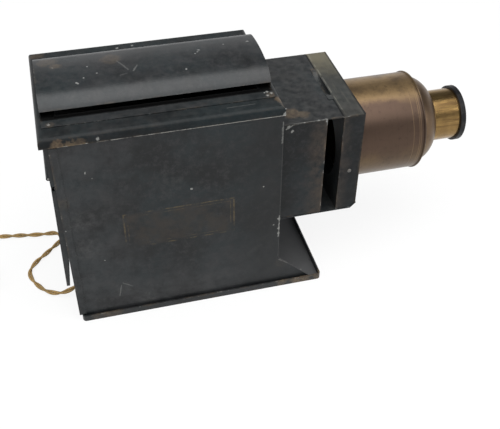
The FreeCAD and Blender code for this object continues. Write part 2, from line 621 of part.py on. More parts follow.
# Lamp bracket: a bridge standing on the tray, open at both ends for the lead
half_long = BRACKET_LENGTH / 2
half_wide = BRACKET_WIDTH / 2
bracket_rear = lamp_x - half_long
bracket_front = lamp_x + half_long
bracket = block(bracket_rear, bracket_front, -half_wide, half_wide, bracket_top - SHEET, bracket_top)
leg = block(bracket_rear, bracket_front, -half_wide, -half_wide + SHEET, SHEET, bracket_top - SHEET)
foot = block(bracket_rear, bracket_front, -half_wide - BRACKET_FOOT, -half_wide, SHEET, 2 * SHEET)
bracket = bracket.fuse([leg, far_copy(leg), foot, far_copy(foot)])
lead_radius = CORD_DIAMETER / 2
lead_hole = Part.makeCylinder(lead_radius + PART_GAP, 2 * SHEET, V(lamp_x, 0, bracket_top - 1.5 * SHEET))
save("lamp_bracket", bracket.cut(lead_hole).removeSplitter())
screw_y = half_wide + BRACKET_FOOT / 2
screw_reach = half_long - BRACKET_FOOT
screws = [round_head(BRACKET_SCREW, V(lamp_x + dx, y, 2 * SHEET), V(0, 0, 1))
          for dx in (-screw_reach, screw_reach) for y in (-screw_y, screw_y)]
save("bracket_screws", *screws)

# Lamp: screw cap, blown globe centred on the lens axis, stem and filament
thread_length = THREAD_PITCH * THREAD_TURNS
cap_top = axis_z - GLOBE_RADIUS - NECK_RADIUS
thread_base = cap_top - CAP_COLLAR - thread_length
cap_bottom = thread_base - CAP_TIP
root_radius = THREAD_RADIUS - THREAD_DEPTH
thread_steps = []
for turn in range(THREAD_TURNS):
    low = thread_base + turn * THREAD_PITCH
    crest = (THREAD_RADIUS, low + THREAD_PITCH / 2)
    thread_steps.append((crest, (root_radius, low + THREAD_PITCH)))
cap_wall = root_radius - SHEET
save("lamp_cap", turned_on_lamp_axis(
    (0, cap_bottom), (CONTACT_RADIUS, cap_bottom), (CONTACT_RADIUS, cap_bottom + SHEET),
    (cap_wall, thread_base), (root_radius, thread_base), *thread_steps,
    (root_radius, cap_top), (cap_wall, cap_top), (cap_wall, thread_base + SHEET), (0, thread_base + SHEET)))

# Globe: outer and inner skins share their centres, joined by a fillet arc to the neck
neck_low = cap_top + SHEET / 2
join_angle = math.radians(NECK_JOIN)


def globe_skin(inset):
    radius = GLOBE_RADIUS - inset
    join = (radius * math.sin(join_angle), axis_z - radius * math.cos(join_angle))
    side = (radius, axis_z)
    top = (0, axis_z + radius)
    shoulder = (radius * math.sin(math.radians(45)), axis_z + radius * math.cos(math.radians(45)))
    lower = math.radians(90) - (math.radians(90) - join_angle) / 2
    belly = (radius * math.sin(lower), axis_z - radius * math.cos(lower))
    return join, belly, side, shoulder, top


join, belly, side, shoulder_point, top = globe_skin(0)
join_in, belly_in, side_in, shoulder_in, top_in = globe_skin(GLASS_WALL)
neck_foot = (NECK_RADIUS, neck_low)
neck_in = (NECK_RADIUS - GLASS_WALL, neck_low)


def neck_middle(foot_point, join_point):
    # Slight hollow in the neck where it flares into the globe.
    flare = NECK_HOLLOW * (join_point[0] - foot_point[0])
    return (foot_point[0] + flare, (foot_point[1] + join_point[1]) / 2)


save("lamp_globe", turned_on_lamp_axis(
    neck_foot, (neck_middle(neck_foot, join), join), (belly, side), (shoulder_point, top),
    top_in, (shoulder_in, side_in), (belly_in, join_in), (neck_middle(neck_in, join_in), neck_in)))

# Stem stands on the cap's floor inside the neck; the filament's two legs stand on the stem
stem_foot = thread_base + SHEET
stem_top = cap_top + STEM_HEIGHT
stem_flare = NECK_RADIUS - 2 * GLASS_WALL
save("lamp_stem", turned_on_lamp_axis((0, stem_foot), (stem_flare, stem_foot), (STEM_RADIUS, cap_top),
                                      (STEM_RADIUS, stem_top), (0, stem_top)))
leg_y = STEM_RADIUS / 2
leg_z = stem_top + FILAMENT_WIRE
filament_path = Part.Wire([
    Part.LineSegment(V(lamp_x, -leg_y, leg_z), V(lamp_x, -FILAMENT_HALF, axis_z)).toShape(),
    Part.LineSegment(V(lamp_x, -FILAMENT_HALF, axis_z), V(lamp_x, FILAMENT_HALF, axis_z)).toShape(),
    Part.LineSegment(V(lamp_x, FILAMENT_HALF, axis_z), V(lamp_x, leg_y, leg_z)).toShape()])
wire_ring = Part.Wire([Part.makeCircle(FILAMENT_WIRE, V(lamp_x, -leg_y, leg_z),
                                       V(0, leg_y - FILAMENT_HALF, axis_z - leg_z))])
save("lamp_filament", filament_path.makePipeShell([wire_ring], True, False, 1))

# Lampholder: moulded body on the bracket, brass screw shell and centre contact
shell_bore = THREAD_RADIUS + THREAD_CLEARANCE
shell_radius = shell_bore + SHELL_WALL
holder_radius = shell_radius + SEAT_FIT + HOLDER_WALL
shell_floor = cap_bottom - CONTACT_HEIGHT - PART_GAP
shell_top = shell_floor + SHELL_DEPTH
foot_top = bracket_top + HOLDER_FOOT_HEIGHT
lead_way = lead_radius + PART_GAP
save("holder_body", turned_on_lamp_axis(
    (lead_way, bracket_top), (HOLDER_FOOT_RADIUS, bracket_top), (HOLDER_FOOT_RADIUS, foot_top),
    (holder_radius, foot_top), (holder_radius, shell_top), (shell_radius + SEAT_FIT, shell_top),
    (shell_radius + SEAT_FIT, shell_floor - SHELL_WALL), (lead_way, shell_floor - SHELL_WALL)))
save("screw_shell", turned_on_lamp_axis(
    (CONTACT_RADIUS + SHELL_WALL, shell_floor - SHELL_WALL), (shell_radius, shell_floor - SHELL_WALL),
    (shell_radius, shell_top), (shell_bore, shell_top), (shell_bore, shell_floor),
    (CONTACT_RADIUS + SHELL_WALL, shell_floor)))
lead_end_z = shell_floor - SHELL_WALL
contact_foot = V(lamp_x, 0, lead_end_z)
save("centre_contact", Part.makeCylinder(CONTACT_RADIUS, CONTACT_HEIGHT + SHELL_WALL, contact_foot))


# Cord: straight runs joined by tangent arcs, as large as the runs allow
def cord_path(name, points):
    edges = []
    here = points[0]
    for number in range(1, len(points) - 1):
        before, corner, after = points[number - 1:number + 2]
        back = (before - corner).normalize()
        ahead = (after - corner).normalize()
        turn = math.pi - back.getAngle(ahead)
        reach = BEND_SHARE * min((before - corner).Length, (after - corner).Length)
        radius = reach / math.tan(turn / 2)
        print("%s radius at point %d: %.1f mm" % (name, number, radius))
        inwards = (back + ahead).normalize()
        apex = corner + inwards * (math.hypot(reach, radius) - radius)
        edges.append(Part.LineSegment(here, corner + back * reach).toShape())
        edges.append(Part.Arc(corner + back * reach, apex, corner + ahead * reach).toShape())
        here = corner + ahead * reach
    edges.append(Part.LineSegment(here, points[-1]).toShape())
    return Part.Wire(edges)


def cord_tube(name, path, start, direction):
    section = Part.Wire([Part.makeCircle(lead_radius, start, direction)])
    tube = path.makePipeShell([section], True, False)
    filled = tube.Volume / (math.pi * lead_radius ** 2 * path.Length)
    print("%s length %.0f mm, volume over section times length %.4f" % (name, path.Length, filled))
    return tube


def lead_point(back, aside):
    # A place along the lead: shares of the way back and sideways from the lamp to the bush.
    return V(lamp_x + back * (bush_face - lamp_x), aside * BUSH_SIDE, BUSH_HEIGHT)


lead_points = [V(lamp_x, 0, lead_end_z), lead_point(0, 0), lead_point(0.23, 0.11), lead_point(0.51, 0.55),
               lead_point(0.74, 1), lead_point(1, 1)]
save("lamp_lead", cord_tube("lamp_lead", cord_path("lamp_lead", lead_points), lead_points[0], V(0, 0, -1)))
cord_points = [
    V(bush_face, BUSH_SIDE, BUSH_HEIGHT), V(-143, BUSH_SIDE, BUSH_HEIGHT), V(-159, -27, 7),
    V(-174, -12, 3.2), V(-181, 4, CORD_FLOOR), V(-174, 20, CORD_FLOOR), V(-160, 35, CORD_FLOOR),
    V(-148, 46, CORD_FLOOR), V(-141.5, 54, CORD_FLOOR), V(-143.5, 62, CORD_FLOOR), V(-153, 65, CORD_FLOOR),
    V(-171, 66.5, CORD_FLOOR), V(-195, 71, CORD_FLOOR), V(-220, 74, CORD_FLOOR), V(-246, 78.5, CORD_FLOOR),
    V(-275, 81, COIL_FLOOR), V(-304, 81, COIL_FLOOR)]
save("mains_cord", cord_tube("mains_cord", cord_path("mains_cord", cord_points), cord_points[0], out_of_rear))


# Spare cord: loops that spiral in on the table, climb a layer and spiral out again to the plug
def semicircle(start, end, heading):
    middle = (start + end) * 0.5 + heading * ((end - start).Length / 2)
    return Part.Arc(start, middle, end).toShape()


coil_start = cord_points[-1]
heading = V(-1, 0, 0)
here = coil_start + heading * CORD_DIAMETER
coil_edges = [Part.LineSegment(coil_start, here).toShape()]
half_turns = 2 * COIL_TURNS
widths = [2 * COIL_RADIUS - COIL_STEP * k for k in range(half_turns)]
side_sign = -1
for number, width in enumerate(widths + [widths[-1] - COIL_STEP] + widths[::-1]):
    climb = COIL_LAYER if number == half_turns else 0
    there = here + V(0, side_sign * width, climb)
    coil_edges.append(semicircle(here, there, heading))
    here = there
    heading = heading * -1
    side_sign = -side_sign

# Tie: a flat band round both layers, on the side without the climb
near_turn = (widths[1] + CORD_DIAMETER) / 2
far_turn = math.sqrt((widths[-1] - CORD_DIAMETER) ** 2 - (TIE_WIDTH + COIL_STEP) ** 2) / 2
tie_x = coil_start.x - CORD_DIAMETER
tie_y = coil_start.y - COIL_RADIUS
tie_low = COIL_FLOOR - lead_radius - TIE_CLEAR
tie_high = COIL_FLOOR + COIL_LAYER + lead_radius + TIE_CLEAR
tie_hole = block(tie_x + far_turn - TIE_CLEAR, tie_x + near_turn + TIE_CLEAR,
                 tie_y - TIE_WIDTH, tie_y + TIE_WIDTH, tie_low, tie_high)
tie = block(tie_x + far_turn - TIE_CLEAR - TIE_THICK, tie_x + near_turn + TIE_CLEAR + TIE_THICK,
            tie_y - TIE_WIDTH / 2, tie_y + TIE_WIDTH / 2, tie_low - TIE_THICK, tie_high + TIE_THICK)
save("cord_tie", tie.cut(tie_hole))

# The plug lies flat, so the cord rises to its axis through two equal arcs
plug_axis_z = PLUG_RADIUS + PLUG_FLOOR_GAP
rise = plug_axis_z - here.z
rise_angle = math.acos(1 - rise / (2 * CORD_RISE_RADIUS))
rise_reach = CORD_RISE_RADIUS * math.sin(rise_angle)


def on_rise(start, angle):
    along = CORD_RISE_RADIUS * math.sin(angle)
    return start + heading * along + V(0, 0, CORD_RISE_RADIUS * (1 - math.cos(angle)))


lift_start = here + heading * CORD_DIAMETER
crest_start = lift_start + heading * (2 * rise_reach) + V(0, 0, rise)
mid_rise = on_rise(lift_start, rise_angle)
lower_bend = on_rise(lift_start, rise_angle / 2)
upper_bend = lift_start + crest_start - lower_bend
plug_entry = crest_start + heading * CORD_DIAMETER
coil_edges += [Part.LineSegment(here, lift_start).toShape(),
               Part.Arc(lift_start, lower_bend, mid_rise).toShape(),
               Part.Arc(mid_rise, upper_bend, crest_start).toShape(),
               Part.LineSegment(crest_start, plug_entry).toShape()]
coil_path = Part.Wire(coil_edges)
save("cord_coil", cord_tube("cord_coil", coil_path, coil_start, V(-1, 0, 0)))

# Least gap between one loop and another, measured on points along the coil
coil_points = coil_path.discretize(Distance=CORD_DIAMETER)
half_loop = int(math.pi * COIL_RADIUS / (2 * CORD_DIAMETER))
gaps = [(p - q).Length for i, p in enumerate(coil_points) for q in coil_points[i + half_loop:]]
print("cord_coil least gap to itself: %.2f mm" % (min(gaps) - CORD_DIAMETER))

# Plug: a round two-pin moulding
plug_mouth = plug_entry + heading * PLUG_LENGTH
plug_shoulder = plug_entry + heading * PLUG_TAPER


def plug_point(along, radius):
    return along + V(0, 0, radius)


plug_face = Part.Face(outline(
    plug_entry, plug_point(plug_entry, PLUG_NECK), plug_point(plug_shoulder, PLUG_RADIUS),
    plug_point(plug_mouth, PLUG_RADIUS), plug_mouth))
save("plug_body", plug_face.revolve(plug_entry, heading, 360))
pin_offset = V(0, PLUG_PIN_SPACING / 2, 0)
save("plug_pins", *[Part.makeCylinder(PLUG_PIN_RADIUS, PLUG_PIN_LENGTH, plug_mouth + offset, heading)
                    for offset in (pin_offset, pin_offset * -1)])
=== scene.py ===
import bmesh
import bpy
import math
from mathutils import Matrix, Vector


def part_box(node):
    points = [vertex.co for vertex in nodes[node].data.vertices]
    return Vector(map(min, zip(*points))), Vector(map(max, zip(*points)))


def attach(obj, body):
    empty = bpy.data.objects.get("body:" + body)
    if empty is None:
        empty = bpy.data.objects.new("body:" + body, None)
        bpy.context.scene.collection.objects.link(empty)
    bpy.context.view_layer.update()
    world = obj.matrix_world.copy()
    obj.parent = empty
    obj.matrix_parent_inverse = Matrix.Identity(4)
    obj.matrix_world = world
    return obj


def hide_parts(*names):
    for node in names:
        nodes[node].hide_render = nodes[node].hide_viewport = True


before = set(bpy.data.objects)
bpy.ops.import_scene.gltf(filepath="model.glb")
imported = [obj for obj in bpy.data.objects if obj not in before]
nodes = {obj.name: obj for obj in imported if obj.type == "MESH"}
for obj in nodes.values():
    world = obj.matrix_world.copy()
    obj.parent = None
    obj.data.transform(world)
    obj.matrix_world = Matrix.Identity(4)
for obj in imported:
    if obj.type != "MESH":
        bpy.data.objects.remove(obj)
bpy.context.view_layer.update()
scene = bpy.context.scene
scene.view_settings.view_transform = "Standard"


# Camera: stands in front of the near side, above lid height and turned a little
# towards the lens. Its place and lens were solved from the lantern's own corners.
CAMERA_PLACE = Vector((-0.1070, -0.6617, 0.6311))
CAMERA_TURN = math.radians(-14.98)
CAMERA_TILT = math.radians(40.86)
CAMERA_ROLL = math.radians(0.57)
SENSOR_WIDTH = 36.0       # millimetres, like the focal length
FOCAL_LENGTH = 57.48
FAR_LIMIT = 50.0

ahead = Vector((-math.sin(CAMERA_TURN) * math.cos(CAMERA_TILT),
                math.cos(CAMERA_TURN) * math.cos(CAMERA_TILT),
                -math.sin(CAMERA_TILT)))
level = ahead.cross(Vector((0, 0, 1))).normalized()
upward = level.cross(ahead)
right = level * math.cos(CAMERA_ROLL) + upward * math.sin(CAMERA_ROLL)
upward = right.cross(ahead)
camera_data = bpy.data.cameras.new("camera")
camera_data.sensor_fit = "HORIZONTAL"
camera_data.sensor_width = SENSOR_WIDTH
camera_data.lens = FOCAL_LENGTH
camera_data.clip_end = FAR_LIMIT
camera = bpy.data.objects.new("camera", camera_data)
turned = Matrix((right, upward, -ahead)).transposed().to_4x4()
camera.matrix_world = Matrix.Translation(CAMERA_PLACE) @ turned
scene.collection.objects.link(camera)
scene.camera = camera


# Table and studio: a plain pale sheet, a large light high in front with two small ones,
# and a pale room that is darker overhead, so that the curved tin shows a band of shade.
TABLE_SIZE = 12.0
TABLE_DROP = 0.0003       # keeps the sheet just clear of the tray
PURE_WHITE = (1, 1, 1, 1)
PAPER_GREY = (0.80, 0.80, 0.79, 1)
PAPER_WHITE = (0.84, 0.84, 0.83, 1)
PAPER_GLOW = 0.86         # share of plain white in the sheet as it is seen
ROOM_PALE = (0.80, 0.80, 0.81, 1)
ROOM_DARK = (0.10, 0.11, 0.125, 1)
FILL_TINT = (0.95, 0.97, 1.0, 1)
FILL_STRENGTH = 0.55
SHADE_STARTS = 0.10       # height, as a share, at which the room begins to darken
SHADE_FULL = 0.52


class Signal:
    # One shader socket: arithmetic on it adds Math nodes, node() adds any other node.
    def __init__(self, tree, socket):
        self.tree = tree
        self.socket = socket

    def node(self, kind, settings, feeds, output=0):
        made = self.tree.nodes.new("ShaderNode" + kind)
        for name, setting in settings.items():
            setattr(made, name, setting)
        for name, feed in feeds.items():
            if isinstance(feed, Signal):
                self.tree.links.new(feed.socket, made.inputs[name])
            else:
                made.inputs[name].default_value = feed
        return Signal(self.tree, made.outputs[output] if made.outputs else None)

    def math(self, operation, *others):
        return self.node("Math", {"operation": operation}, dict(enumerate((self,) + others)))

    def __add__(self, other):
        return self.math("ADD", other)

    __radd__ = __add__

    def __sub__(self, other):
        return self.math("SUBTRACT", other)

    def __rsub__(self, other):
        return self.node("Math", {"operation": "SUBTRACT"}, {0: other, 1: self})

    def __mul__(self, other):
        return self.math("MULTIPLY", other)

    __rmul__ = __mul__

    def __abs__(self):
        return self.math("ABSOLUTE")

    def ease(self, start, end):
        # Smooth step from 0 at start to 1 at end; start may be the larger.
        return self.node("MapRange", {"interpolation_type": "SMOOTHSTEP"},
                         {"Value": self, "From Min": start, "From Max": end})

    def mix(self, low, high):
        # Colour blend with this signal as its factor.
        return self.node("Mix", {"data_type": "RGBA"}, {0: self, 6: low, 7: high}, output=2)

    def noise(self, scale, detail=3.0, rough=0.5):
        feeds = {"Vector": self, "Scale": scale, "Detail": detail, "Roughness": rough}
        return self.node("TexNoise", {}, feeds)

    def stretched(self, x, y, z):
        return self.node("VectorMath", {"operation": "MULTIPLY"}, {0: self, 1: (x, y, z)})

    def axes(self):
        return [self.node("SeparateXYZ", {}, {"Vector": self}, output=number) for number in range(3)]


def new_material(name):
    # A bare material, and its object coordinates as a signal: the shared frame, in metres.
    material = bpy.data.materials.new(name)
    material.use_nodes = True
    material.node_tree.nodes.clear()
    empty = Signal(material.node_tree, None)
    return material, empty.node("TexCoord", {}, {}, output="Object")


def close_material(place, **sockets):
    feeds = {name.replace("_", " "): feed for name, feed in sockets.items()}
    shader = place.node("BsdfPrincipled", {}, feeds)
    place.node("OutputMaterial", {}, {"Surface": shader})


def seen_plainly(place):
    # Two signals: 1 for rays from the camera, and 1 for those from a mirror or through glass as well.
    camera_ray = place.node("LightPath", {}, {}, output="Is Camera Ray")
    glossy_ray = place.node("LightPath", {}, {}, output="Is Glossy Ray")
    clear_ray = place.node("LightPath", {}, {}, output="Is Transmission Ray")
    return camera_ray, (camera_ray + glossy_ray + clear_ray).math("MINIMUM", 1.0)


bpy.ops.mesh.primitive_plane_add(size=TABLE_SIZE, location=(0, 0, -TABLE_DROP))
table = bpy.context.object
table.name = "table"
table_sheet, place = new_material("table_sheet")
_, plain = seen_plainly(place)
paper = place.noise(60.0).mix(PAPER_GREY, PAPER_WHITE)
matt = place.node("BsdfPrincipled", {}, {"Base Color": paper, "Roughness": 0.9, "Specular IOR Level": 0.1})
white = place.node("Emission", {}, {"Color": PURE_WHITE, "Strength": 1.0})
blended = place.node("MixShader", {}, {0: plain * PAPER_GLOW, 1: matt, 2: white})
place.node("OutputMaterial", {}, {"Surface": blended})
table.data.materials.append(table_sheet)

room = bpy.data.worlds.new("room")
scene.world = room
room.use_nodes = True
room.node_tree.nodes.clear()
sky = Signal(room.node_tree, None)
direction = sky.node("TexCoord", {}, {}, output="Generated")
camera_ray, plain = seen_plainly(sky)
overhead = direction.axes()[2].ease(SHADE_STARTS, SHADE_FULL)
ceiling = overhead.mix(ROOM_PALE, ROOM_DARK)
wall_colour = camera_ray.mix(ceiling, PURE_WHITE)
lit = sky.node("Background", {}, {"Color": wall_colour, "Strength": 1.0})
dim = sky.node("Background", {}, {"Color": FILL_TINT, "Strength": FILL_STRENGTH})
sky.node("OutputWorld", {}, {"Surface": sky.node("MixShader", {}, {0: plain, 1: dim, 2: lit})})


def soft_light(name, place_at, aim, width, height, watts):
    data = bpy.data.lights.new(name, "AREA")
    data.shape = "RECTANGLE"
    data.size = width
    data.size_y = height
    data.energy = watts
    lamp = bpy.data.objects.new(name, data)
    lamp.location = place_at
    lamp.rotation_euler = (Vector(aim) - Vector(place_at)).to_track_quat("-Z", "Y").to_euler()
    scene.collection.objects.link(lamp)


soft_light("front_light", (-0.1, -0.54, 1.86), aim=(-0.03, 0, 0.2), width=2.4, height=2.0, watts=52.0)
soft_light("back_light", (-0.2, 1.70, 0.95), aim=(0, 0, 0.2), width=2.4, height=0.4, watts=0.9)
soft_light("lens_light", (1.3, -0.9, 0.9), aim=(0.2, 0, 0.15), width=0.5, height=0.9, watts=4.0)


# Base tray: one sheet of tinplate with its edge turned up and hemmed all round,
# japanned black. The hem is rubbed to rust and bare tin along its top.
DEEP_BLACK = (0.0066, 0.0074, 0.0078, 1)
BLUE_BLACK = (0.0100, 0.0148, 0.0165, 1)
BROWN_BLACK = (0.0200, 0.0162, 0.0155, 1)
RUST = (0.066, 0.046, 0.032, 1)
DRY_RUST = (0.135, 0.100, 0.060, 1)
BARE_TIN = (0.36, 0.36, 0.34, 1)
SETTLED_DUST = (0.070, 0.070, 0.066, 1)
GREY_HAZE = (0.026, 0.0255, 0.027, 1)
SCUFF_GREY = (0.060, 0.060, 0.058, 1)
FLOOR_DUST = (0.092, 0.092, 0.093, 1)
HAZE_SCALE = 8.5          # scales of the noises, the larger the finer
CLOUD_SCALE = 15.0
DENT_SCALE = 17.0
STAIN_SCALE = 31.0
WEAR_SCALE = 46.0
SPECK_SCALE = 62.0
FADE_SCALE = 64.0
BARE_SCALE = 120.0
SCUFF_SCALE = 130.0
DUST_SCALE = 140.0
MOTTLE_SCALE = 150.0
RAGGED_SCALE = 260.0
GRAIN_SCALE = 1500.0
DENT_DEPTH = 0.0022
WORN_REACH = 0.0026       # how far wear and bare tin reach in from an edge
BARE_REACH = 0.0011
DUST_FULL = 0.0026        # heights between which the dust on the tray's floor gives way to the lip
DUST_ENDS = 0.0036
TRAY_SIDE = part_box("base_tray")[0].y
LIP_RUST = 0.006          # height of the rust on the lip


def chip(place, wobble, centre, radius):
    # A ragged spot round a point of the surface, soft at its rim.
    distance = place.node("VectorMath", {"operation": "DISTANCE"}, {0: place, 1: centre}, output="Value")
    return (distance + wobble * radius).ease(radius, radius * 0.5)


def scratch(place, wobble, start, end, width):
    # A thin stroke between two points of the surface, broken up by the wobble.
    run = Vector(end) - Vector(start)
    away = place.node("VectorMath", {"operation": "SUBTRACT"}, {0: place, 1: start})
    per_run = run / run.length_squared
    share = away.node("VectorMath", {"operation": "DOT_PRODUCT"}, {0: away, 1: per_run}, output="Value")
    share = share.math("MINIMUM", 1.0).math("MAXIMUM", 0.0)
    nearest = share.node("VectorMath", {"operation": "SCALE"}, {0: run, "Scale": share})
    distance = away.node("VectorMath", {"operation": "DISTANCE"}, {0: away, 1: nearest}, output="Value")
    return (distance + wobble * width).ease(width, width * 0.3)


def japan(piece, chips=(), strokes=(), rust=(), scuffs=(), brown=0.45, rubbed=0.30, dust=0.35,
          rough=0.36, gloss=0.32, faded=1.0, lining=None):
    # Black japan on tinplate: cloudy blue-black and brown-black, faded to grey, with rubbed edges, specks,
    # dents and dust. Chips, strokes, rust and scuffs are placed by points of the shared frame, and a
    # lining adds marks that only some pieces have.
    material, place = new_material("japan_" + piece)
    low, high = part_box(piece)
    spread = place.axes()
    clouds = place.noise(CLOUD_SCALE, 5.0, 0.62)
    stains = place.noise(STAIN_SCALE, 6.0, 0.68)
    ragged = place.noise(RAGGED_SCALE, 4.0, 0.65)
    grain = place.noise(GRAIN_SCALE, 2.0)
    wobble = ragged - 0.5
    colour = clouds.ease(0.38, 0.64).mix(DEEP_BLACK, BLUE_BLACK)
    colour = (stains.ease(0.52, 0.72) * brown).mix(colour, BROWN_BLACK)
    haze = place.noise(HAZE_SCALE, 6.0, 0.60).ease(0.40, 0.68)
    haze = haze * place.noise(FADE_SCALE, 6.0, 0.72).ease(0.25, 0.75)
    colour = (haze * (0.7 * faded)).mix(colour, GREY_HAZE)
    mottle = place.noise(MOTTLE_SCALE, 6.0, 0.78)
    colour = (mottle.ease(0.46, 0.70) * (0.75 * faded)).mix(colour, GREY_HAZE)
    colour = (mottle.ease(0.46, 0.30) * 0.60).mix(colour, DEEP_BLACK)
    streaks = place.stretched(14.0, 210.0, 210.0).noise(1.0, 5.0, 0.7)
    colour = (streaks.ease(0.60, 0.80) * 0.22).mix(colour, SETTLED_DUST)
    facing_up = place.node("NewGeometry", {}, {}, output="Normal").axes()[2].ease(0.2, 0.9)
    settled = facing_up * place.noise(DUST_SCALE, 5.0, 0.6).ease(0.20, 0.95) * dust
    colour = settled.mix(colour, SETTLED_DUST)
    rusted = None
    for centre, radius, strength in rust:
        area = chip(place, (stains - 0.5) * 3.0 + wobble * 1.6, centre, radius) * strength
        rusted = area if rusted is None else rusted.math("MAXIMUM", area)
    if rusted is not None:
        tone = ragged.ease(0.35, 0.65).mix(RUST, DRY_RUST)
        colour = rusted.mix(colour, tone)
    rubs = place.noise(SCUFF_SCALE, 5.0, 0.70).ease(0.40, 0.72)
    for centre, radius, strength in scuffs:
        area = chip(place, (stains - 0.5) * 2.4, centre, radius) * rubs * strength
        colour = area.mix(colour, SCUFF_GREY)
    if lining is not None:
        colour = lining(place, wobble, colour)
    reach = [(part - low[number]).math("MINIMUM", high[number] - part) for number, part in enumerate(spread)]
    lesser = reach[0].math("MINIMUM", reach[1])
    greater = reach[0].math("MAXIMUM", reach[1])
    from_edge = lesser.math("MAXIMUM", greater.math("MINIMUM", reach[2]))
    worn = from_edge.ease(WORN_REACH, 0.0003) * place.noise(WEAR_SCALE, 5.0, 0.7).ease(0.44, 0.66)
    colour = (worn * rubbed).mix(colour, ragged.ease(0.4, 0.62).mix(RUST, DRY_RUST))
    bare = from_edge.ease(BARE_REACH, 0.0002) * place.noise(BARE_SCALE, 4.0, 0.7).ease(0.56, 0.66) * rubbed
    cells = place.node("TexVoronoi", {}, {"Vector": place, "Scale": SPECK_SCALE})
    picked = place.node("TexVoronoi", {}, {"Vector": place, "Scale": SPECK_SCALE}, output="Color").axes()[0]
    specks = (cells + wobble * 0.05).ease(0.065, 0.03) * picked.ease(0.86, 0.88) * 0.6
    bare = bare.math("MAXIMUM", specks)
    for centre, radius in chips:
        bare = bare.math("MAXIMUM", chip(place, wobble * 4.0, centre, radius) * 0.5)
    for start, end, width, strength in strokes:
        bare = bare.math("MAXIMUM", scratch(place, wobble * 3.0, start, end, width) * strength)
    colour = bare.mix(colour, BARE_TIN)
    sheen = clouds * 0.16 + stains * 0.14 + settled * 0.3 + worn * 0.2 + (rough - 0.15)
    dents = place.noise(DENT_SCALE, 2.0) + grain * 0.012 - bare * 0.05 + worn * 0.02
    dented = place.node("Bump", {}, {"Strength": 0.22, "Distance": DENT_DEPTH, "Height": dents})
    close_material(place, Base_Color=colour, Metallic=bare * 0.45, Roughness=sheen, Normal=dented,
                   Specular_IOR_Level=gloss)
    return material


def dress(piece, material):
    nodes[piece].data.materials.clear()
    nodes[piece].data.materials.append(material)


def paint(piece, **marks):
    dress(piece, japan(piece, **marks))


def dusty_floor(place, wobble, colour):
    # Grey dust lies evenly on the tray's open floor, below its lip.
    level = place.node("NewGeometry", {}, {}, output="Normal").axes()[2].ease(0.5, 0.9)
    floor = level * place.axes()[2].ease(DUST_ENDS, DUST_FULL)
    return (floor * (place.noise(52.0, 4.0, 0.6) * 0.30 + 0.65)).mix(colour, FLOOR_DUST)


def on_lip(x, inwards=0.0):
    return (x, TRAY_SIDE + inwards, LIP_RUST)


paint("base_tray", lining=dusty_floor, brown=0.7, rubbed=0.35, dust=0.2,
      rust=[(on_lip(0.106), 0.014, 0.75), (on_lip(0.085), 0.010, 0.45),
            (on_lip(0.128, inwards=0.001), 0.008, 0.5), (on_lip(-0.100), 0.020, 0.35),
            ((0.120, 0.050, 0.001), 0.022, 0.4)])


# Side walls: sheets with a gusset that runs out along the tray and a hem at the rear.
# The near one carries a faded gold-lined panel, left plain.
PANEL_LEFT, PANEL_RIGHT = -0.0756, 0.0331
PANEL_LOW, PANEL_HIGH = 0.0895, 0.1323
OLD_GOLD = (0.110, 0.078, 0.034, 1)
PANEL_BROWN = (0.026, 0.020, 0.015, 1)
WALL_GREY = (0.046, 0.046, 0.047, 1)
LINE_GAP = 0.0034         # between the outer and the inner gold line


def gold_lined_panel(place, wobble, colour):
    # Greyer towards the rear and the foot, blacker towards the front, and a brown panel inside two worn gold
    # lines.
    along, _, height = place.axes()
    rear_or_foot = along.ease(-0.030, -0.120).math("MAXIMUM", height.ease(0.070, 0.015))
    greyer = rear_or_foot * place.noise(60.0, 5.0, 0.7).ease(0.28, 0.70)
    colour = (greyer * 0.40).mix(colour, WALL_GREY)
    colour = (along.ease(0.015, 0.070) * 0.55).mix(colour, DEEP_BLACK)
    half_wide = (PANEL_RIGHT - PANEL_LEFT) / 2
    half_high = (PANEL_HIGH - PANEL_LOW) / 2
    beyond_x = abs(along - (PANEL_LEFT + half_wide)) - half_wide
    beyond_z = abs(height - (PANEL_LOW + half_high)) - half_high
    beyond = beyond_x.math("MAXIMUM", beyond_z)
    inside = (beyond + wobble * 0.006).ease(0.0015, -0.0035)
    ground = inside * place.noise(48.0, 5.0, 0.7).ease(0.36, 0.66)
    colour = (ground * 0.7).mix(colour, PANEL_BROWN)
    outer_line = (abs(beyond) + wobble * 0.0008).ease(0.0010, 0.0004)
    inner_line = (abs(beyond + LINE_GAP) + wobble * 0.0008).ease(0.0006, 0.0002)
    remaining = place.noise(70.0, 5.0, 0.75).ease(0.44, 0.64)
    lines = outer_line.math("MAXIMUM", inner_line * 0.7) * remaining
    return (lines * 0.55).mix(colour, OLD_GOLD)


SHEET = 0.0008
NEAR_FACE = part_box("near_side_wall")[0].y + SHEET     # its hem lies one sheet further out


def on_near_wall(x, z):
    return (x, NEAR_FACE, z)


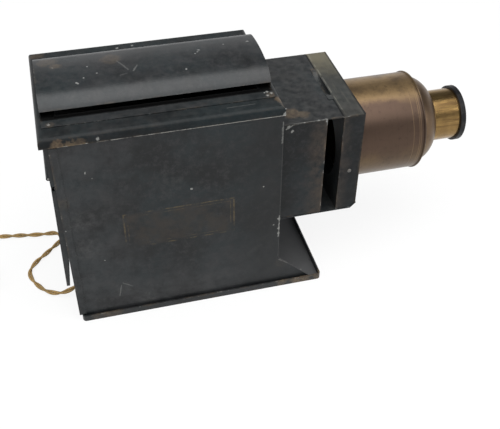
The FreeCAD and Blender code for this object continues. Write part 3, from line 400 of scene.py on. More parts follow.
paint("near_side_wall", lining=gold_lined_panel, brown=0.5, rubbed=0.35, gloss=0.25,
      chips=[(on_near_wall(-0.1046, 0.1884), 0.0014), (on_near_wall(-0.0085, 0.1518), 0.0015),
             (on_near_wall(0.0989, 0.0234), 0.0015), (on_near_wall(0.0802, 0.0952), 0.0016),
             (on_near_wall(0.0806, 0.0880), 0.0013), (on_near_wall(0.0802, 0.0815), 0.0018),
             (on_near_wall(0.0806, 0.0752), 0.0015), (on_near_wall(0.0745, 0.0880), 0.0009)],
      scuffs=[(on_near_wall(-0.1180, 0.1330), 0.0140, 0.5), (on_near_wall(-0.1120, 0.0960), 0.0180, 0.5),
              (on_near_wall(-0.0840, 0.0360), 0.0120, 0.45), (on_near_wall(-0.0600, 0.0170), 0.0100, 0.5),
              (on_near_wall(-0.0300, 0.1600), 0.0200, 0.25), (on_near_wall(0.0600, 0.0560), 0.0200, 0.25),
              (on_near_wall(0.0900, 0.0300), 0.0140, 0.4)],
      strokes=[(on_near_wall(-0.0890, 0.0257), on_near_wall(-0.0860, 0.0400), 0.0008, 0.16),
               (on_near_wall(-0.0842, 0.0427), on_near_wall(-0.0746, 0.0359), 0.0007, 0.13),
               (on_near_wall(0.0806, 0.0990), on_near_wall(0.0804, 0.0710), 0.0009, 0.4),
               (on_near_wall(0.0808, 0.2130), on_near_wall(0.0806, 0.1900), 0.0012, 0.22),
               (on_near_wall(0.0812, 0.1900), on_near_wall(0.0808, 0.0420), 0.0006, 0.06),
               (on_near_wall(0.0820, 0.0370), on_near_wall(0.1080, 0.0170), 0.0007, 0.2)],
      rust=[(on_near_wall(-0.128, 0.160), 0.010, 0.15), (on_near_wall(0.084, 0.030), 0.009, 0.2)])
FAR_FACE = -NEAR_FACE


def on_far_wall(x, z):
    return (x, FAR_FACE, z)


paint("far_side_wall", brown=0.5, rubbed=0.35,
      chips=[(on_far_wall(-0.0600, 0.1300), 0.0013), (on_far_wall(0.0200, 0.0700), 0.0011),
             (on_far_wall(0.0800, 0.1200), 0.0016)],
      strokes=[(on_far_wall(-0.0300, 0.0900), on_far_wall(-0.0050, 0.1040), 0.0006, 0.25),
               (on_far_wall(0.0400, 0.1500), on_far_wall(0.0460, 0.1320), 0.0005, 0.25)],
      scuffs=[(on_far_wall(-0.0900, 0.1100), 0.0200, 0.4), (on_far_wall(0.0300, 0.1700), 0.0180, 0.35),
              (on_far_wall(0.0100, 0.0400), 0.0160, 0.4)],
      rust=[(on_far_wall(0.040, 0.012), 0.014, 0.25), (on_far_wall(-0.110, 0.200), 0.014, 0.2)])


# Front wall, with the condenser behind its hole, and the low sill across the rear.
# Both are soldered to the tray along their feet, where rust has started.
FRONT_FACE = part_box("front_wall")[1].x
paint("front_wall", brown=0.6, rubbed=0.35,
      rust=[((FRONT_FACE, 0.030, 0.020), 0.026, 0.4), ((FRONT_FACE, -0.060, 0.210), 0.020, 0.35)])
SILL_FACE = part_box("rear_sill")[0].x
paint("rear_sill", brown=0.6, rubbed=0.4, rust=[((SILL_FACE, -0.010, 0.010), 0.018, 0.45)])


# Rear panel and flap: shallow folded sheets, hinged to one another on a row of
# rolled knuckles. Fingers have rubbed the flap's lower edge.
PANEL_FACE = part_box("rear_upper_panel")[0].x
paint("rear_upper_panel", brown=0.5, rubbed=0.35,
      rust=[((PANEL_FACE, 0.040, 0.180), 0.016, 0.4), ((PANEL_FACE, -0.050, 0.222), 0.018, 0.35)])
FLAP_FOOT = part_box("rear_flap")[0].x
FLAP_FACE = FLAP_FOOT + 0.001         # the flap hangs ajar, so its middle is less far out
paint("rear_flap", brown=0.65, rubbed=0.45,
      chips=[((FLAP_FACE, 0.010, 0.110), 0.0018), ((FLAP_FOOT, -0.040, 0.080), 0.0014)],
      strokes=[((FLAP_FACE, 0.015, 0.095), (FLAP_FACE, 0.032, 0.120), 0.0012, 0.3)],
      rust=[((FLAP_FOOT, 0.000, 0.052), 0.022, 0.5), ((FLAP_FACE, -0.060, 0.120), 0.014, 0.25)])
FRECKLE_BROWN = (0.075, 0.048, 0.032, 1)
DARK_STEEL = (0.30, 0.29, 0.28, 1)


def steel(name, tone, rough):
    # Drawn or pressed steel with brown freckles and fine lines along its length.
    material, place = new_material(name)
    freckles = place.noise(420.0, 5.0, 0.7).ease(0.52, 0.68)
    lines = place.stretched(900.0, 60.0, 900.0).noise(1.0, 3.0)
    colour = (freckles * 0.7).mix(tone, FRECKLE_BROWN)
    marked = place.node("Bump", {}, {"Strength": 0.25, "Distance": 0.0003, "Height": lines - freckles * 0.5})
    close_material(place, Base_Color=colour, Metallic=1 - freckles * 0.6,
                   Roughness=lines * 0.15 + freckles * 0.25 + rough, Normal=marked)
    return material


dark_steel = steel("dark_steel", DARK_STEEL, 0.32)
dress("hinge_pin", dark_steel)


# Condenser housing and front box: two cheeks and a rear plate, then the slide slot,
# then the shallow box that carries the lens board. One top and one bottom plate span both.
BOX_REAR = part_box("front_near_cheek")[0].x
BOX_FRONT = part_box("stage_top_plate")[1].x
OLIVE_GROUND = (0.108, 0.097, 0.066, 1)
CREASE_GREY = (0.15, 0.145, 0.12, 1)
STREAK_GREY = (0.105, 0.100, 0.080, 1)
# near black painted along the front box's rolled front edge as its shade
ROLLED_EDGE_SHADE = (0.004, 0.004, 0.004, 1)
JOINT_BLACK = (0.002, 0.002, 0.002, 1)


def front_box_top(place, wobble, colour):
    # The plate over the front box has lost its gloss and shows an olive ground,
    # with a dark joint behind it.
    along, across, _ = place.axes()
    past_joint = (along + wobble * 0.0016).ease(BOX_REAR - 0.0014, BOX_REAR + 0.0006)
    far_end = (across + (place.noise(40.0, 4.0, 0.7) - 0.5) * 0.06).ease(0.0, 0.060)
    olive = (past_joint * (far_end * 0.88 + 0.10)).mix(colour, OLIVE_GROUND)
    crease = abs(along - (BOX_REAR + 0.0016) + wobble * 0.0014).ease(0.0009, 0.0003)
    crease = crease * place.noise(60.0).ease(0.42, 0.6)
    olive = (crease * 0.6).mix(olive, CREASE_GREY)
    streaks = place.stretched(420.0, 16.0, 1.0).noise(1.0, 4.0, 0.7).ease(0.50, 0.72) * past_joint
    olive = (streaks * 0.4).mix(olive, STREAK_GREY)
    # painted shade: near black along the rolled front edge
    rolled_edge_shade = (along + wobble * 0.0010).ease(BOX_FRONT - 0.0026, BOX_FRONT - 0.0008)
    olive = (rolled_edge_shade * 0.75).mix(olive, ROLLED_EDGE_SHADE)
    joint = abs(along - (BOX_REAR - 0.0010) + wobble * 0.0008).ease(0.0012, 0.0004)
    return (joint * 0.9).mix(olive, JOINT_BLACK)


TOP_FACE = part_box("stage_top_plate")[0].z + SHEET


def on_top_plate(x, y):
    return (x, y, TOP_FACE)


paint("stage_top_plate", lining=front_box_top, brown=0.7, rubbed=0.4, dust=0.55,
      rust=[(on_top_plate(0.1000, -0.0440), 0.0100, 0.55), (on_top_plate(0.1080, -0.0480), 0.0070, 0.4),
            (on_top_plate(0.1560, 0.0520), 0.0100, 0.3)],
      chips=[(on_top_plate(0.1067, -0.0617), 0.0012), (on_top_plate(0.1288, -0.0617), 0.0016),
             (on_top_plate(0.1210, -0.0618), 0.0009), (on_top_plate(0.0960, -0.0350), 0.0012)],
      strokes=[(on_top_plate(0.0960, -0.0618), on_top_plate(0.1290, -0.0618), 0.0006, 0.25)])
paint("stage_bottom_plate", brown=0.6, rubbed=0.35)
CHEEK_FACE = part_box("condenser_near_cheek")[0].y
SLOT_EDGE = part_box("condenser_near_cheek")[1].x
SLOT_BLOOM = (0.050, 0.036, 0.026, 1)
FRONT_BLOOM = (0.044, 0.034, 0.027, 1)
RIVET_GREY = (0.17, 0.165, 0.155, 1)


def on_cheek(x, z):
    return (x, CHEEK_FACE, z)


def brown_bloom(clear, full, wander, share, tone):
    # A lining for a cheek: slide carriers have worn the japan beside the slot to a brown bloom.
    def lining(place, wobble, colour):
        along = place.axes()[0]
        drift = (place.noise(34.0, 5.0, 0.7) - 0.5) * wander
        bloom = (along + drift).ease(clear, full)
        bloom = bloom * place.noise(75.0, 5.0, 0.7).ease(0.30, 0.62)
        return (bloom * share).mix(colour, tone)
    return lining


rear_bloom = brown_bloom(SLOT_EDGE - 0.021, SLOT_EDGE - 0.007, wander=0.016, share=0.62, tone=SLOT_BLOOM)
front_bloom = brown_bloom(BOX_REAR + 0.013, BOX_REAR + 0.002, wander=0.014, share=0.5, tone=FRONT_BLOOM)
paint("condenser_near_cheek", lining=rear_bloom, brown=0.9, rubbed=0.4, gloss=0.18, faded=0.8,
      chips=[(on_cheek(0.0917, 0.1968), 0.0018), (on_cheek(0.0948, 0.1901), 0.0017),
             (on_cheek(0.1296, 0.1965), 0.0014), (on_cheek(0.0835, 0.1770), 0.0010),
             (on_cheek(0.0832, 0.1690), 0.0010)],
      strokes=[(on_cheek(0.0890, 0.1935), on_cheek(0.0950, 0.1972), 0.0009, 0.4),
               (on_cheek(0.0950, 0.1972), on_cheek(0.1040, 0.1980), 0.0007, 0.25),
               (on_cheek(0.1301, 0.1980), on_cheek(0.1300, 0.1920), 0.0009, 0.3)])
paint("condenser_far_cheek", lining=rear_bloom, brown=0.8, rubbed=0.4, gloss=0.18, faded=0.8)
for plate in ("stage_rear_plate", "stage_front_plate"):
    paint(plate, brown=0.5, rubbed=0.3, rough=0.5)
for cheek in ("front_near_cheek", "front_far_cheek"):
    paint(cheek, lining=front_bloom, brown=0.8, rubbed=0.4, gloss=0.16, faded=0.6)
BOARD_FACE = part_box("lens_board")[1].x
paint("lens_board", brown=0.6, rubbed=0.4, rust=[((BOARD_FACE, 0.0400, 0.1000), 0.0140, 0.4)])
rivet_metal = steel("rivet_metal", RIVET_GREY, 0.42)
dress("cheek_rivets", rivet_metal)
dress("slide_spring", japan("slide_spring", brown=1.0, rubbed=0.5, dust=0.9))


# Condenser: two thick plano-convex glasses in a flanged brass cell, kept apart by a spacer and held in by a
# retaining ring.
CELL_TONES = ((0.30, 0.22, 0.11, 1), (0.20, 0.14, 0.07, 1), (0.06, 0.042, 0.028, 1))
GREEN_GLASS = (0.93, 0.97, 0.94, 1)
BRASS_SPOTS = 0.5         # how strongly the brown spots show


def glass(name, tint, haze):
    # Clear glass with a breath of dust, which only changes how sharply it reflects.
    material, place = new_material(name)
    smears = place.noise(70.0, 5.0, 0.65).ease(0.50, 0.80)
    close_material(place, Base_Color=tint, Roughness=smears * haze, IOR=1.5, Transmission_Weight=1.0)
    return material


def brass(name, tones, rough, turned):
    # Brass under old lacquer: a light, a middle and a brown tone, turned lines round the lens axis.
    material, place = new_material(name)
    light, middle, brown = tones
    tarnish = place.noise(26.0, 6.0, 0.66)
    fine = place.noise(170.0, 5.0, 0.7)
    lines = place.stretched(1400.0, 6.0, 6.0).noise(1.0, 4.0, 0.6)
    colour = tarnish.ease(0.36, 0.66).mix(middle, light)
    colour = (fine.ease(0.50, 0.74) * BRASS_SPOTS).mix(colour, brown)
    colour = (lines.ease(0.50, 0.78) * turned).mix(colour, brown)
    sheen = tarnish * 0.16 + fine * 0.12 + lines * 0.08 * turned + rough
    relief = lines * turned + fine * 0.4 + place.noise(30.0) * 1.5
    marked = place.node("Bump", {}, {"Strength": 0.18, "Distance": 0.0003, "Height": relief})
    close_material(place, Base_Color=colour, Metallic=1 - fine.ease(0.50, 0.74) * BRASS_SPOTS * 0.45,
                   Roughness=sheen, Normal=marked)
    return material


condenser_glass = glass("condenser_glass", GREEN_GLASS, 0.10)
for lens in ("rear_condenser_lens", "front_condenser_lens"):
    dress(lens, condenser_glass)
cell_brass = brass("cell_brass", CELL_TONES, 0.34, 0.5)
for ring in ("condenser_cell", "condenser_spacer", "condenser_retainer"):
    dress(ring, cell_brass)


# Lens barrel and nozzle: spun brass under brown lacquer. The barrel's mouth is beaded
# and has two scored lines; the nozzle is a dome down to the focusing sleeve.
barrel_low, barrel_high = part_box("lens_barrel")
lens_axis = (barrel_low.z + barrel_high.z) / 2
barrel_front = barrel_high.x
LACQUER_PINK = (0.082, 0.052, 0.037, 1)
# gold of the nozzle's lacquer, also painted on the crown as a reflection
GOLD_LACQUER_AND_CROWN_REFLECTION = (0.330, 0.220, 0.106, 1)
LACQUER_BROWN = (0.080, 0.052, 0.036, 1)
# lighter olive painted below the lens axis as a reflection
UNDERSIDE_REFLECTION_OLIVE = (0.124, 0.083, 0.046, 1)
LACQUER_DARK = (0.036, 0.025, 0.018, 1)
SCORED_BRASS = (0.24, 0.160, 0.085, 1)
BARREL_SCORES = (0.0052, 0.0070, 0.0135)      # turned lines, measured back from the mouth
NOZZLE_GILT = 0.22


def lacquered_brass(name, mouth, scores, gilt):
    # Brown lacquer, pink along the flank, darker near the mouth, and gold all over by the gilt share. Banded
    # by height, the lighter gold on the crown and the lighter olive below are painted reflections.
    material, place = new_material(name)
    along, _, height = place.axes()
    tarnish = place.noise(24.0, 6.0, 0.66)
    fine = place.noise(210.0, 5.0, 0.72)
    lines = place.stretched(1100.0, 5.0, 5.0).noise(1.0, 4.0, 0.6)
    rise = height - lens_axis + (tarnish - 0.5) * 0.02
    # painted reflection: lighter olive below the lens axis
    colour = rise.ease(-0.012, 0.008).mix(UNDERSIDE_REFLECTION_OLIVE, LACQUER_PINK)
    # painted reflection: lighter gold on the crown
    crown = rise.ease(0.0420, 0.0500)
    colour = crown.math("MAXIMUM", gilt).mix(colour, GOLD_LACQUER_AND_CROWN_REFLECTION)
    colour = (tarnish.ease(0.40, 0.68) * 0.75).mix(colour, LACQUER_BROWN)
    colour = (fine.ease(0.52, 0.76) * 0.5).mix(colour, LACQUER_DARK)
    colour = (lines.ease(0.52, 0.80) * 0.35).mix(colour, LACQUER_DARK)
    by_mouth = (abs(along - mouth) + (fine - 0.5) * 0.004).ease(0.0060, 0.0005)
    colour = (by_mouth * 0.45).mix(colour, LACQUER_DARK)
    scored = None
    for offset in scores:
        line = abs(along - (mouth - offset)).ease(0.00050, 0.00015)
        scored = line if scored is None else scored.math("MAXIMUM", line)
    height_map = lines * 0.5 + fine * 0.3 + place.noise(28.0) * 1.6
    if scored is not None:
        colour = (scored * 0.4).mix(colour, SCORED_BRASS)
        height_map = height_map - scored * 1.5
    marked = place.node("Bump", {}, {"Strength": 0.2, "Distance": 0.0003, "Height": height_map})
    sheen = tarnish * 0.14 + fine * 0.14 + 0.22
    close_material(place, Base_Color=colour, Metallic=0.82, Roughness=sheen, Normal=marked)
    return material


dress("lens_barrel", lacquered_brass("barrel_lacquer", barrel_front, BARREL_SCORES, 0.0))
nozzle_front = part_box("lens_nozzle")[1].x
dress("lens_nozzle", lacquered_brass("nozzle_lacquer", nozzle_front, (), NOZZLE_GILT))
dress("focus_sleeve", cell_brass)


# Focus tube: bright drawn brass that slides in the nozzle, streaked lengthways by
# its sleeve, with a black ring round its mouth and a glass at each end.
DRAWN_GOLD = (0.32, 0.204, 0.076, 1)
DRAWN_BROWN = (0.22, 0.137, 0.054, 1)
STREAK_BROWN = (0.110, 0.062, 0.026, 1)
HAIRLINE_GOLD = (0.56, 0.40, 0.18, 1)
RING_BLACK = (0.006, 0.006, 0.007, 1)
RING_BROWN = (0.022, 0.019, 0.017, 1)
PALE_GLASS = (0.95, 0.98, 0.97, 1)
material, place = new_material("drawn_brass")
tarnish = place.noise(38.0, 5.0, 0.66)
streaks = place.stretched(26.0, 420.0, 420.0).noise(1.0, 4.0, 0.65)
hairlines = place.stretched(40.0, 1500.0, 1500.0).noise(1.0, 2.0)
gold = tarnish.ease(0.36, 0.66).mix(DRAWN_GOLD, DRAWN_BROWN)
gold = (streaks.ease(0.48, 0.70) * 0.75).mix(gold, STREAK_BROWN)
gold = (hairlines.ease(0.64, 0.74) * 0.5).mix(gold, HAIRLINE_GOLD)
drawn = place.node("Bump", {}, {"Strength": 0.2, "Distance": 0.0002, "Height": streaks + hairlines * 0.6})
sheen = tarnish * 0.14 + streaks * 0.12 + 0.10
close_material(place, Base_Color=gold, Metallic=0.95, Roughness=sheen, Normal=drawn)
dress("focus_tube", material)

material, place = new_material("ring_black")
rubbed = place.noise(150.0, 5.0, 0.7)
turning = place.stretched(2600.0, 8.0, 8.0).noise(1.0, 3.0)
black = rubbed.ease(0.45, 0.75).mix(RING_BLACK, RING_BROWN)
ring_marks = place.node("Bump", {}, {"Strength": 0.2, "Distance": 0.0003, "Height": turning + rubbed * 0.5})
close_material(place, Base_Color=black, Roughness=rubbed * 0.25 + 0.30, Normal=ring_marks,
               Specular_IOR_Level=0.22)
dress("lens_ring", material)
objective_glass = glass("objective_glass", PALE_GLASS, 0.06)
dress("front_objective", objective_glass)
dress("rear_objective", objective_glass)
dress("objective_cell", cell_brass)


# Lid: a skirted pan with rolled edges that lifts off, a curb round its long vent,
# and an arched cowl above that. The skirt is bare along its lower edge.
SKIRT_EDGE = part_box("lid_pan")[0].z
SKIRT_TIN = (0.30, 0.29, 0.27, 1)
# near black painted on the vent curb as the shade under the cowl
COWL_SHADE_BLACK = (0.0012, 0.0012, 0.0012, 1)


def bare_skirt(place, wobble, colour):
    # Bare tin along the skirt's lower edge, brightest towards the front.
    along, _, height = place.axes()
    forward = along.ease(-0.16, 0.07)
    patchy = place.noise(90.0, 5.0, 0.7)
    rim = (height - SKIRT_EDGE + wobble * 0.0010).ease(0.0010, 0.0003)
    shown = rim * (patchy + forward * 0.24).ease(0.48, 0.70)
    return (shown * 0.7).mix(colour, SKIRT_TIN)


SKIRT_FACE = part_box("lid_pan")[0].y
PAN_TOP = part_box("lid_pan")[1].z


def on_skirt(x, z):
    return (x, SKIRT_FACE, z)


paint("lid_pan", lining=bare_skirt, brown=0.5, rubbed=0.25, dust=0.25, gloss=0.10, faded=0.4,
      rust=[(on_skirt(-0.1240, 0.2200), 0.0085, 0.8), (on_skirt(-0.1130, 0.2205), 0.0080, 0.75),
            (on_skirt(-0.1030, 0.2210), 0.0070, 0.5), ((0.0820, -0.0640, PAN_TOP), 0.0075, 0.8),
            ((0.0830, -0.0720, PAN_TOP - 0.002), 0.0060, 0.5), ((-0.1330, 0.0700, PAN_TOP), 0.0100, 0.3)],
      chips=[(on_skirt(-0.0889, 0.2245), 0.0017), (on_skirt(0.0820, 0.2225), 0.0022),
             ((-0.0524, 0.0662, PAN_TOP), 0.0018), ((-0.0373, 0.0681, PAN_TOP), 0.0014),
             (on_skirt(-0.0992, 0.2212), 0.0012)],
      strokes=[((0.0300, -0.0665, PAN_TOP), (0.0560, -0.0660, PAN_TOP), 0.0005, 0.15)])
CURB_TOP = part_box("vent_curb")[0].z + SHEET
COWL_SHADE_FULL = 0.0482        # half widths between which the painted shade under the cowl gives way to black japan
COWL_SHADE_ENDS = 0.0500


def shaded_vent(place, wobble, colour):
    # Painted shade: the curb round its vent is near black under the cowl, to a little beyond the cowl's
    # sides.
    cowl_shade = (abs(place.axes()[1]) + wobble * 0.0010).ease(COWL_SHADE_ENDS, COWL_SHADE_FULL)
    return cowl_shade.mix(colour, COWL_SHADE_BLACK)


# the curb carries painted shade under the cowl
paint("vent_curb", lining=shaded_vent, brown=0.6, rubbed=0.25, dust=0.30, rough=0.5, gloss=0.20,
      chips=[((0.0721, -0.0501, CURB_TOP), 0.0015), ((0.0749, -0.0530, CURB_TOP), 0.0018),
             ((0.0690, -0.0510, CURB_TOP), 0.0011)],
      rust=[((0.0740, -0.0560, CURB_TOP), 0.0050, 0.35), ((-0.1280, -0.0560, CURB_TOP), 0.0050, 0.25)])
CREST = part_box("vent_cowl")[1].z
CROWN_BEND = 0.1547       # radius of the cowl's flatter crown


def on_cowl(x, y):
    return (x, y, CREST - y * y / (2 * CROWN_BEND))


paint("vent_cowl", brown=0.25, rubbed=0.25, dust=0.25, rough=0.34, gloss=0.38,
      chips=[(on_cowl(0.0175, 0.0035), 0.0018), (on_cowl(0.0196, 0.0070), 0.0014),
             (on_cowl(0.0150, 0.0010), 0.0010), (on_cowl(-0.0868, 0.0010), 0.0012),
             (on_cowl(-0.0985, -0.0230), 0.0014), (on_cowl(-0.0917, -0.0165), 0.0013),
             (on_cowl(-0.0794, -0.0120), 0.0010), (on_cowl(0.0448, 0.0125), 0.0011),
             (on_cowl(0.0687, 0.0130), 0.0014), (on_cowl(0.0018, -0.0220), 0.0012),
             (on_cowl(-0.1180, 0.0060), 0.0014)],
      strokes=[(on_cowl(-0.0590, 0.0050), on_cowl(-0.0505, -0.0125), 0.0009, 0.13),
               (on_cowl(-0.0414, -0.0070), on_cowl(-0.0462, -0.0150), 0.0009, 0.17),
               (on_cowl(-0.0590, -0.0195), on_cowl(-0.0520, -0.0175), 0.0008, 0.09)],
      rust=[(on_cowl(-0.1150, 0.0090), 0.0070, 0.35), (on_cowl(-0.0640, 0.0090), 0.0090, 0.25),
            (on_cowl(-0.1220, 0.0190), 0.0100, 0.25)])
for end in ("cowl_rear_end", "cowl_front_end"):
    paint(end, brown=0.5, rubbed=0.4)
dress("curb_rivets", rivet_metal)


# Lamp bracket and holder: a tin bridge screwed to the tray, a glazed porcelain body,
# and a screw shell of brass with a contact in its floor.
GLAZE_DARK = (0.60, 0.57, 0.50, 1)
GLAZE_LIGHT = (0.68, 0.66, 0.60, 1)
GLAZE_SOOT = (0.22, 0.18, 0.13, 1)
SHELL_TONES = ((0.58, 0.42, 0.18, 1), (0.44, 0.31, 0.13, 1), (0.14, 0.095, 0.05, 1))
paint("lamp_bracket", brown=0.6, rubbed=0.5, dust=0.8)
dress("bracket_screws", dark_steel)
material, place = new_material("glazed_porcelain")
glaze = place.noise(60.0, 4.0, 0.6)
soot = place.noise(140.0, 6.0, 0.7).ease(0.48, 0.72)
cream = glaze.ease(0.35, 0.65).mix(GLAZE_DARK, GLAZE_LIGHT)
cream = (soot * 0.5).mix(cream, GLAZE_SOOT)
crazed = place.node("Bump", {}, {"Strength": 0.12, "Distance": 0.0003, "Height": glaze + soot * 0.4})
close_material(place, Base_Color=cream, Roughness=soot * 0.3 + 0.16, Normal=crazed)
dress("holder_body", material)
shell_brass = brass("shell_brass", SHELL_TONES, 0.22, 0.2)
for piece in ("screw_shell", "centre_contact", "lamp_cap"):
    dress(piece, shell_brass)


# Lamp: a blown globe on a screw cap, with a glass stem and a looped wire filament,
# standing with its filament on the lens axis.
CLEAR_GLASS = (0.985, 0.99, 0.99, 1)
STEM_GLASS = (0.90, 0.93, 0.92, 1)
WIRE_GREY = (0.42, 0.41, 0.40, 1)
dress("lamp_globe", glass("globe_glass", CLEAR_GLASS, 0.05))
dress("lamp_stem", glass("stem_glass", STEM_GLASS, 0.12))
dress("lamp_filament", steel("filament_wire", WIRE_GREY, 0.30))


# Cord bush: a black rubber grommet pressed into the sill, chalky with age,
# that keeps the flex off the raw edge of its hole.
RUBBER_BLACK = (0.012, 0.012, 0.012, 1)
RUBBER_CHALK = (0.050, 0.048, 0.044, 1)
material, place = new_material("old_rubber")
bloom = place.noise(300.0, 5.0, 0.7)
soft_black = bloom.ease(0.40, 0.72).mix(RUBBER_BLACK, RUBBER_CHALK)
pitted = place.node("Bump", {}, {"Strength": 0.3, "Distance": 0.0003, "Height": bloom})
close_material(place, Base_Color=soft_black, Roughness=bloom * 0.25 + 0.55, Normal=pitted)
dress("cord_bush", material)


# Mains flex: two cotton-braided cores twisted together, about 5 mm across. It leaves
# the bush, doubles back behind the lantern, runs off and is coiled and tied, with its plug.
FLEX = 0.0052
CORE_RADIUS = 0.00128
CORE_OFFSET = 0.00130
TWIST = 0.036             # length of one full turn of the pair
CORE_SIDES = 10
COIL_RADIUS = 0.040
COIL_STEP = 0.0062
COIL_LAYER = 0.0059
COIL_TURNS = 4
POINTS_PER_HALF = 8
PLUG_RUN = 0.013          # straight run out of the coil and into the plug
CURVE_STEPS = 8           # mesh points per control point of a route
PLAIT_LENGTH = 0.010      # one unit of the texture map along a core
PLAITS_ALONG = 5.0
PLAITS_ROUND = 4.0
STRAW_SHADE = (0.150, 0.088, 0.030, 1)
STRAW_LIGHT = (0.420, 0.275, 0.110, 1)
STRAW_WORN = (0.205, 0.160, 0.095, 1)
STRAW_FUZZ = (0.50, 0.38, 0.20, 1)
BUSH_EXIT = (-0.1276, -0.036, 0.013)

route = [Vector(point) for point in (
    BUSH_EXIT, (-0.1400, -0.0410, 0.0085), (-0.1555, -0.0365, 0.0045),
    (-0.1675, -0.0260, 0.0029), (-0.1765, -0.0115, 0.00275), (-0.1815, 0.0030, 0.00275),
    (-0.1745, 0.018, 0.00275), (-0.160, 0.0315, 0.00275), (-0.148, 0.0437, 0.00275),
    (-0.142, 0.050, 0.00275), (-0.1419, 0.058, 0.00275), (-0.1473, 0.0639, 0.00275),
    (-0.1558, 0.0645, 0.00275), (-0.171, 0.0660, 0.00275), (-0.195, 0.0705, 0.00275),
    (-0.220, 0.074, 0.00275), (-0.246, 0.0785, 0.00275), (-0.275, 0.081, 0.0039),
    (-0.304, 0.081, 0.0039))]
here = route[-1] + Vector((-FLEX, 0, 0))
heading = Vector((-1, 0, 0))
side = -1
widths = [2 * COIL_RADIUS - COIL_STEP * number for number in range(2 * COIL_TURNS)]
half_step = math.pi / POINTS_PER_HALF
bow = 1 / math.cos(half_step / 2)
for number, width in enumerate(widths + [widths[-1] - COIL_STEP] + widths[::-1]):
    climb = COIL_LAYER if number == len(widths) else 0
    there = here + Vector((0, side * width, climb))
    middle = (here + there) / 2
    for step in range(POINTS_PER_HALF):
        angle = (step + 0.5) * half_step
        sideways = (here - middle) * (math.cos(angle) * bow)
        onwards = heading * (width / 2 * bow * math.sin(angle))
        route.append(middle + sideways + onwards)
    here = there
    heading = -heading
    side = -side
plug_low, plug_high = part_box("plug_body")
plug_z = (plug_low.z + plug_high.z) / 2
route += [Vector((here.x + FLEX, here.y, here.z)), Vector((here.x + PLUG_RUN, here.y, here.z)),
          Vector((plug_low.x - PLUG_RUN, here.y, plug_z)), Vector((plug_low.x - FLEX, here.y, plug_z)),
          Vector((plug_low.x, here.y, plug_z))]


def along_route(points):
    # The smooth line through a route's control points, as the points of its mesh.
    data = bpy.data.curves.new("route", "CURVE")
    data.dimensions = "3D"
    spline = data.splines.new("NURBS")
    spline.points.add(len(points) - 1)
    for point, at in zip(spline.points, points):
        point.co = (at.x, at.y, at.z, 1)
    spline.order_u = 3
    spline.use_endpoint_u = True
    spline.resolution_u = CURVE_STEPS
    holder = bpy.data.objects.new("route", data)
    scene.collection.objects.link(holder)
    bpy.context.view_layer.update()
    mesh = bpy.data.meshes.new_from_object(holder.evaluated_get(bpy.context.evaluated_depsgraph_get()))
    line = [vertex.co.copy() for vertex in mesh.vertices]
    bpy.data.objects.remove(holder)
    bpy.data.curves.remove(data)
    bpy.data.meshes.remove(mesh)
    return line


def twisted_pair(name, line):
    # Two cores wound round a line, each a tube with its own lengthways and round-about texture map.
    forward = [(line[min(i + 1, len(line) - 1)] - line[max(i - 1, 0)]).normalized() for i in range(len(line))]
    normal = forward[0].cross(Vector((0, 0, 1))).normalized()
    mesh = bmesh.new()
    wrap = mesh.loops.layers.uv.new("core")
    rings = ([], [])
    travelled = 0.0
    for number, (at, ahead_here) in enumerate(zip(line, forward)):
        if number:
            travelled += (at - line[number - 1]).length
        normal = (normal - ahead_here * normal.dot(ahead_here)).normalized()
        beside = ahead_here.cross(normal)
        turn = 2 * math.pi * travelled / TWIST
        out = normal * math.cos(turn) + beside * math.sin(turn)
        for core, sign in enumerate((1, -1)):
            centre = at + out * (sign * CORE_OFFSET)
            ring = []
            for facet in range(CORE_SIDES):
                angle = 2 * math.pi * facet / CORE_SIDES
                reach = normal * math.cos(angle) + beside * math.sin(angle)
                ring.append(mesh.verts.new(centre + reach * CORE_RADIUS))
            rings[core].append((ring, travelled))
    for core_rings in rings:
        for (ring_a, length_a), (ring_b, length_b) in zip(core_rings, core_rings[1:]):
            for facet in range(CORE_SIDES):
                next_facet = (facet + 1) % CORE_SIDES
                face = mesh.faces.new((ring_a[facet], ring_a[next_facet], ring_b[next_facet], ring_b[facet]))
                face.smooth = True
                corners = ((length_a, facet), (length_a, facet + 1), (length_b, facet + 1), (length_b, facet))
                for loop, (length, count) in zip(face.loops, corners):
                    loop[wrap].uv = (length / PLAIT_LENGTH, count / CORE_SIDES)
        mesh.faces.new(core_rings[0][0][::-1])
        mesh.faces.new(core_rings[-1][0])
    data = bpy.data.meshes.new(name)
    mesh.normal_update()
    mesh.to_mesh(data)
    mesh.free()
    piece = bpy.data.objects.new(name, data)
    scene.collection.objects.link(piece)
    return piece


cotton, place = new_material("braided_cotton")
wrapped = place.node("UVMap", {"uv_map": "core"}, {})
length_wise, round_about, _ = wrapped.axes()
turns_one = ((length_wise * PLAITS_ALONG + round_about * PLAITS_ROUND) * (2 * math.pi)).math("SINE")
turns_two = ((length_wise * PLAITS_ALONG - round_about * PLAITS_ROUND) * (2 * math.pi)).math("SINE")
plait = turns_one.math("MAXIMUM", turns_two) * 0.5 + 0.5
worn_cloth = place.noise(55.0, 5.0, 0.7)
fuzz = place.noise(1800.0, 3.0, 0.6)
straw = plait.ease(0.25, 0.95).mix(STRAW_SHADE, STRAW_LIGHT)
straw = (worn_cloth.ease(0.46, 0.70) * 0.55).mix(straw, STRAW_WORN)
straw = (fuzz.ease(0.55, 0.75) * 0.3).mix(straw, STRAW_FUZZ)
woven = place.node("Bump", {}, {"Strength": 0.7, "Distance": 0.0003, "Height": plait + fuzz * 0.5})
close_material(place, Base_Color=straw, Roughness=fuzz * 0.15 + 0.72, Normal=woven, Specular_IOR_Level=0.2)

flex_line = along_route(route)
flex = twisted_pair("mains_flex", flex_line)
flex.data.materials.append(cotton)
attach(flex, "lamphouse")
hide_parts("mains_cord", "cord_coil")


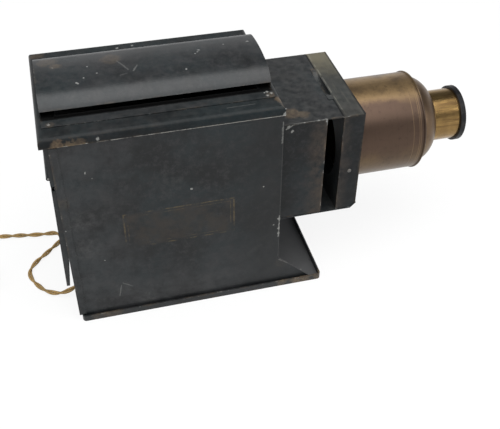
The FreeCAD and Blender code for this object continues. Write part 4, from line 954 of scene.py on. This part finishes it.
# Tie: a flat woven cotton tape, pulled once round the coil's two layers and
# sewn to itself, so that the coil keeps together.
TAPE = 0.0007
TAPE_SECTION = ((-1.0, 0.5), (-0.8, 0.9), (0.0, 1.0), (0.8, 0.9), (1.0, 0.5), (0.8, 0.0), (-0.8, 0.0))
TIE_CORNER = 0.0022
CORNER_STEPS = 6
THREAD_PITCH = 0.0006
BUFF_DARK = (0.34, 0.28, 0.18, 1)
BUFF_LIGHT = (0.46, 0.39, 0.27, 1)
BUFF_SOIL = (0.19, 0.14, 0.085, 1)
tie_low, tie_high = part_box("cord_tie")
ring = []
for centre_x, centre_z, first in ((tie_high.x - TIE_CORNER, tie_high.z - TIE_CORNER, 0.0),
                                  (tie_low.x + TIE_CORNER, tie_high.z - TIE_CORNER, 90.0),
                                  (tie_low.x + TIE_CORNER, tie_low.z + TIE_CORNER, 180.0),
                                  (tie_high.x - TIE_CORNER, tie_low.z + TIE_CORNER, 270.0)):
    for step in range(CORNER_STEPS + 1):
        angle = math.radians(first + step * 90.0 / CORNER_STEPS)
        ring.append((centre_x, centre_z, angle))
mesh = bmesh.new()
half_wide = (tie_high.y - tie_low.y) / 2
middle_y = (tie_high.y + tie_low.y) / 2
loops = []
for centre_x, centre_z, angle in ring:
    section = []
    for across, depth in TAPE_SECTION:
        reach = TIE_CORNER - TAPE + TAPE * depth
        at_x = centre_x + reach * math.cos(angle)
        at_z = centre_z + reach * math.sin(angle)
        section.append(mesh.verts.new((at_x, middle_y + across * half_wide, at_z)))
    loops.append(section)
for number, section in enumerate(loops):
    following = loops[(number + 1) % len(loops)]
    for here_at in range(len(section)):
        next_at = (here_at + 1) % len(section)
        face = mesh.faces.new((section[here_at], section[next_at], following[next_at], following[here_at]))
        face.smooth = True
bmesh.ops.recalc_face_normals(mesh, faces=mesh.faces)
tape = bpy.data.meshes.new("flex_tie")
mesh.to_mesh(tape)
mesh.free()
tie = bpy.data.objects.new("flex_tie", tape)
scene.collection.objects.link(tie)
material, place = new_material("woven_tape")
warp = (place.axes()[1] * (2 * math.pi / THREAD_PITCH)).math("SINE")
weft = (place.axes()[0] * (2 * math.pi / THREAD_PITCH)).math("SINE")
cloth = (warp * weft) * 0.5 + 0.5
soil = place.noise(220.0, 5.0, 0.7)
buff = cloth.mix(BUFF_DARK, BUFF_LIGHT)
buff = (soil.ease(0.48, 0.72) * 0.5).mix(buff, BUFF_SOIL)
threads = place.node("Bump", {}, {"Strength": 0.6, "Distance": 0.0003, "Height": cloth + soil * 0.3})
close_material(place, Base_Color=buff, Roughness=soil * 0.15 + 0.78, Normal=threads)
tie.data.materials.append(material)
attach(tie, "lamphouse")
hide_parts("cord_tie")


# Plug: a round two-pin plug of mottled brown moulding with turned brass pins.
# The flex enters its rear end.
MOULDING_DARK = (0.042, 0.022, 0.013, 1)
MOULDING_LIGHT = (0.095, 0.048, 0.024, 1)
material, place = new_material("mottled_moulding")
swirl = place.noise(70.0, 6.0, 0.7)
brown_mould = swirl.ease(0.38, 0.66).mix(MOULDING_DARK, MOULDING_LIGHT)
scuffed = place.noise(500.0, 4.0, 0.7)
moulded = place.node("Bump", {}, {"Strength": 0.15, "Distance": 0.0003, "Height": scuffed + swirl})
close_material(place, Base_Color=brown_mould, Roughness=scuffed * 0.25 + 0.22, Normal=moulded)
dress("plug_body", material)
dress("plug_pins", shell_brass)


# Lead inside the lamphouse: the same flex from the bush, under the bracket and up
# into the holder.
lead_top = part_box("lamp_lead")[1].z
LAMP_X = -0.020           # the lamp stands above this point of the tray
lead_route = [Vector(point) for point in (
    BUSH_EXIT, (-0.100, -0.036, 0.013), (-0.075, -0.020, 0.013), (-0.045, -0.004, 0.013),
    (LAMP_X, 0, 0.013), (LAMP_X, 0, 0.022), (LAMP_X, 0, lead_top))]
lead = twisted_pair("lamp_flex", along_route(lead_route))
lead.data.materials.append(cotton)
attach(lead, "lamphouse")
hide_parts("lamp_lead")
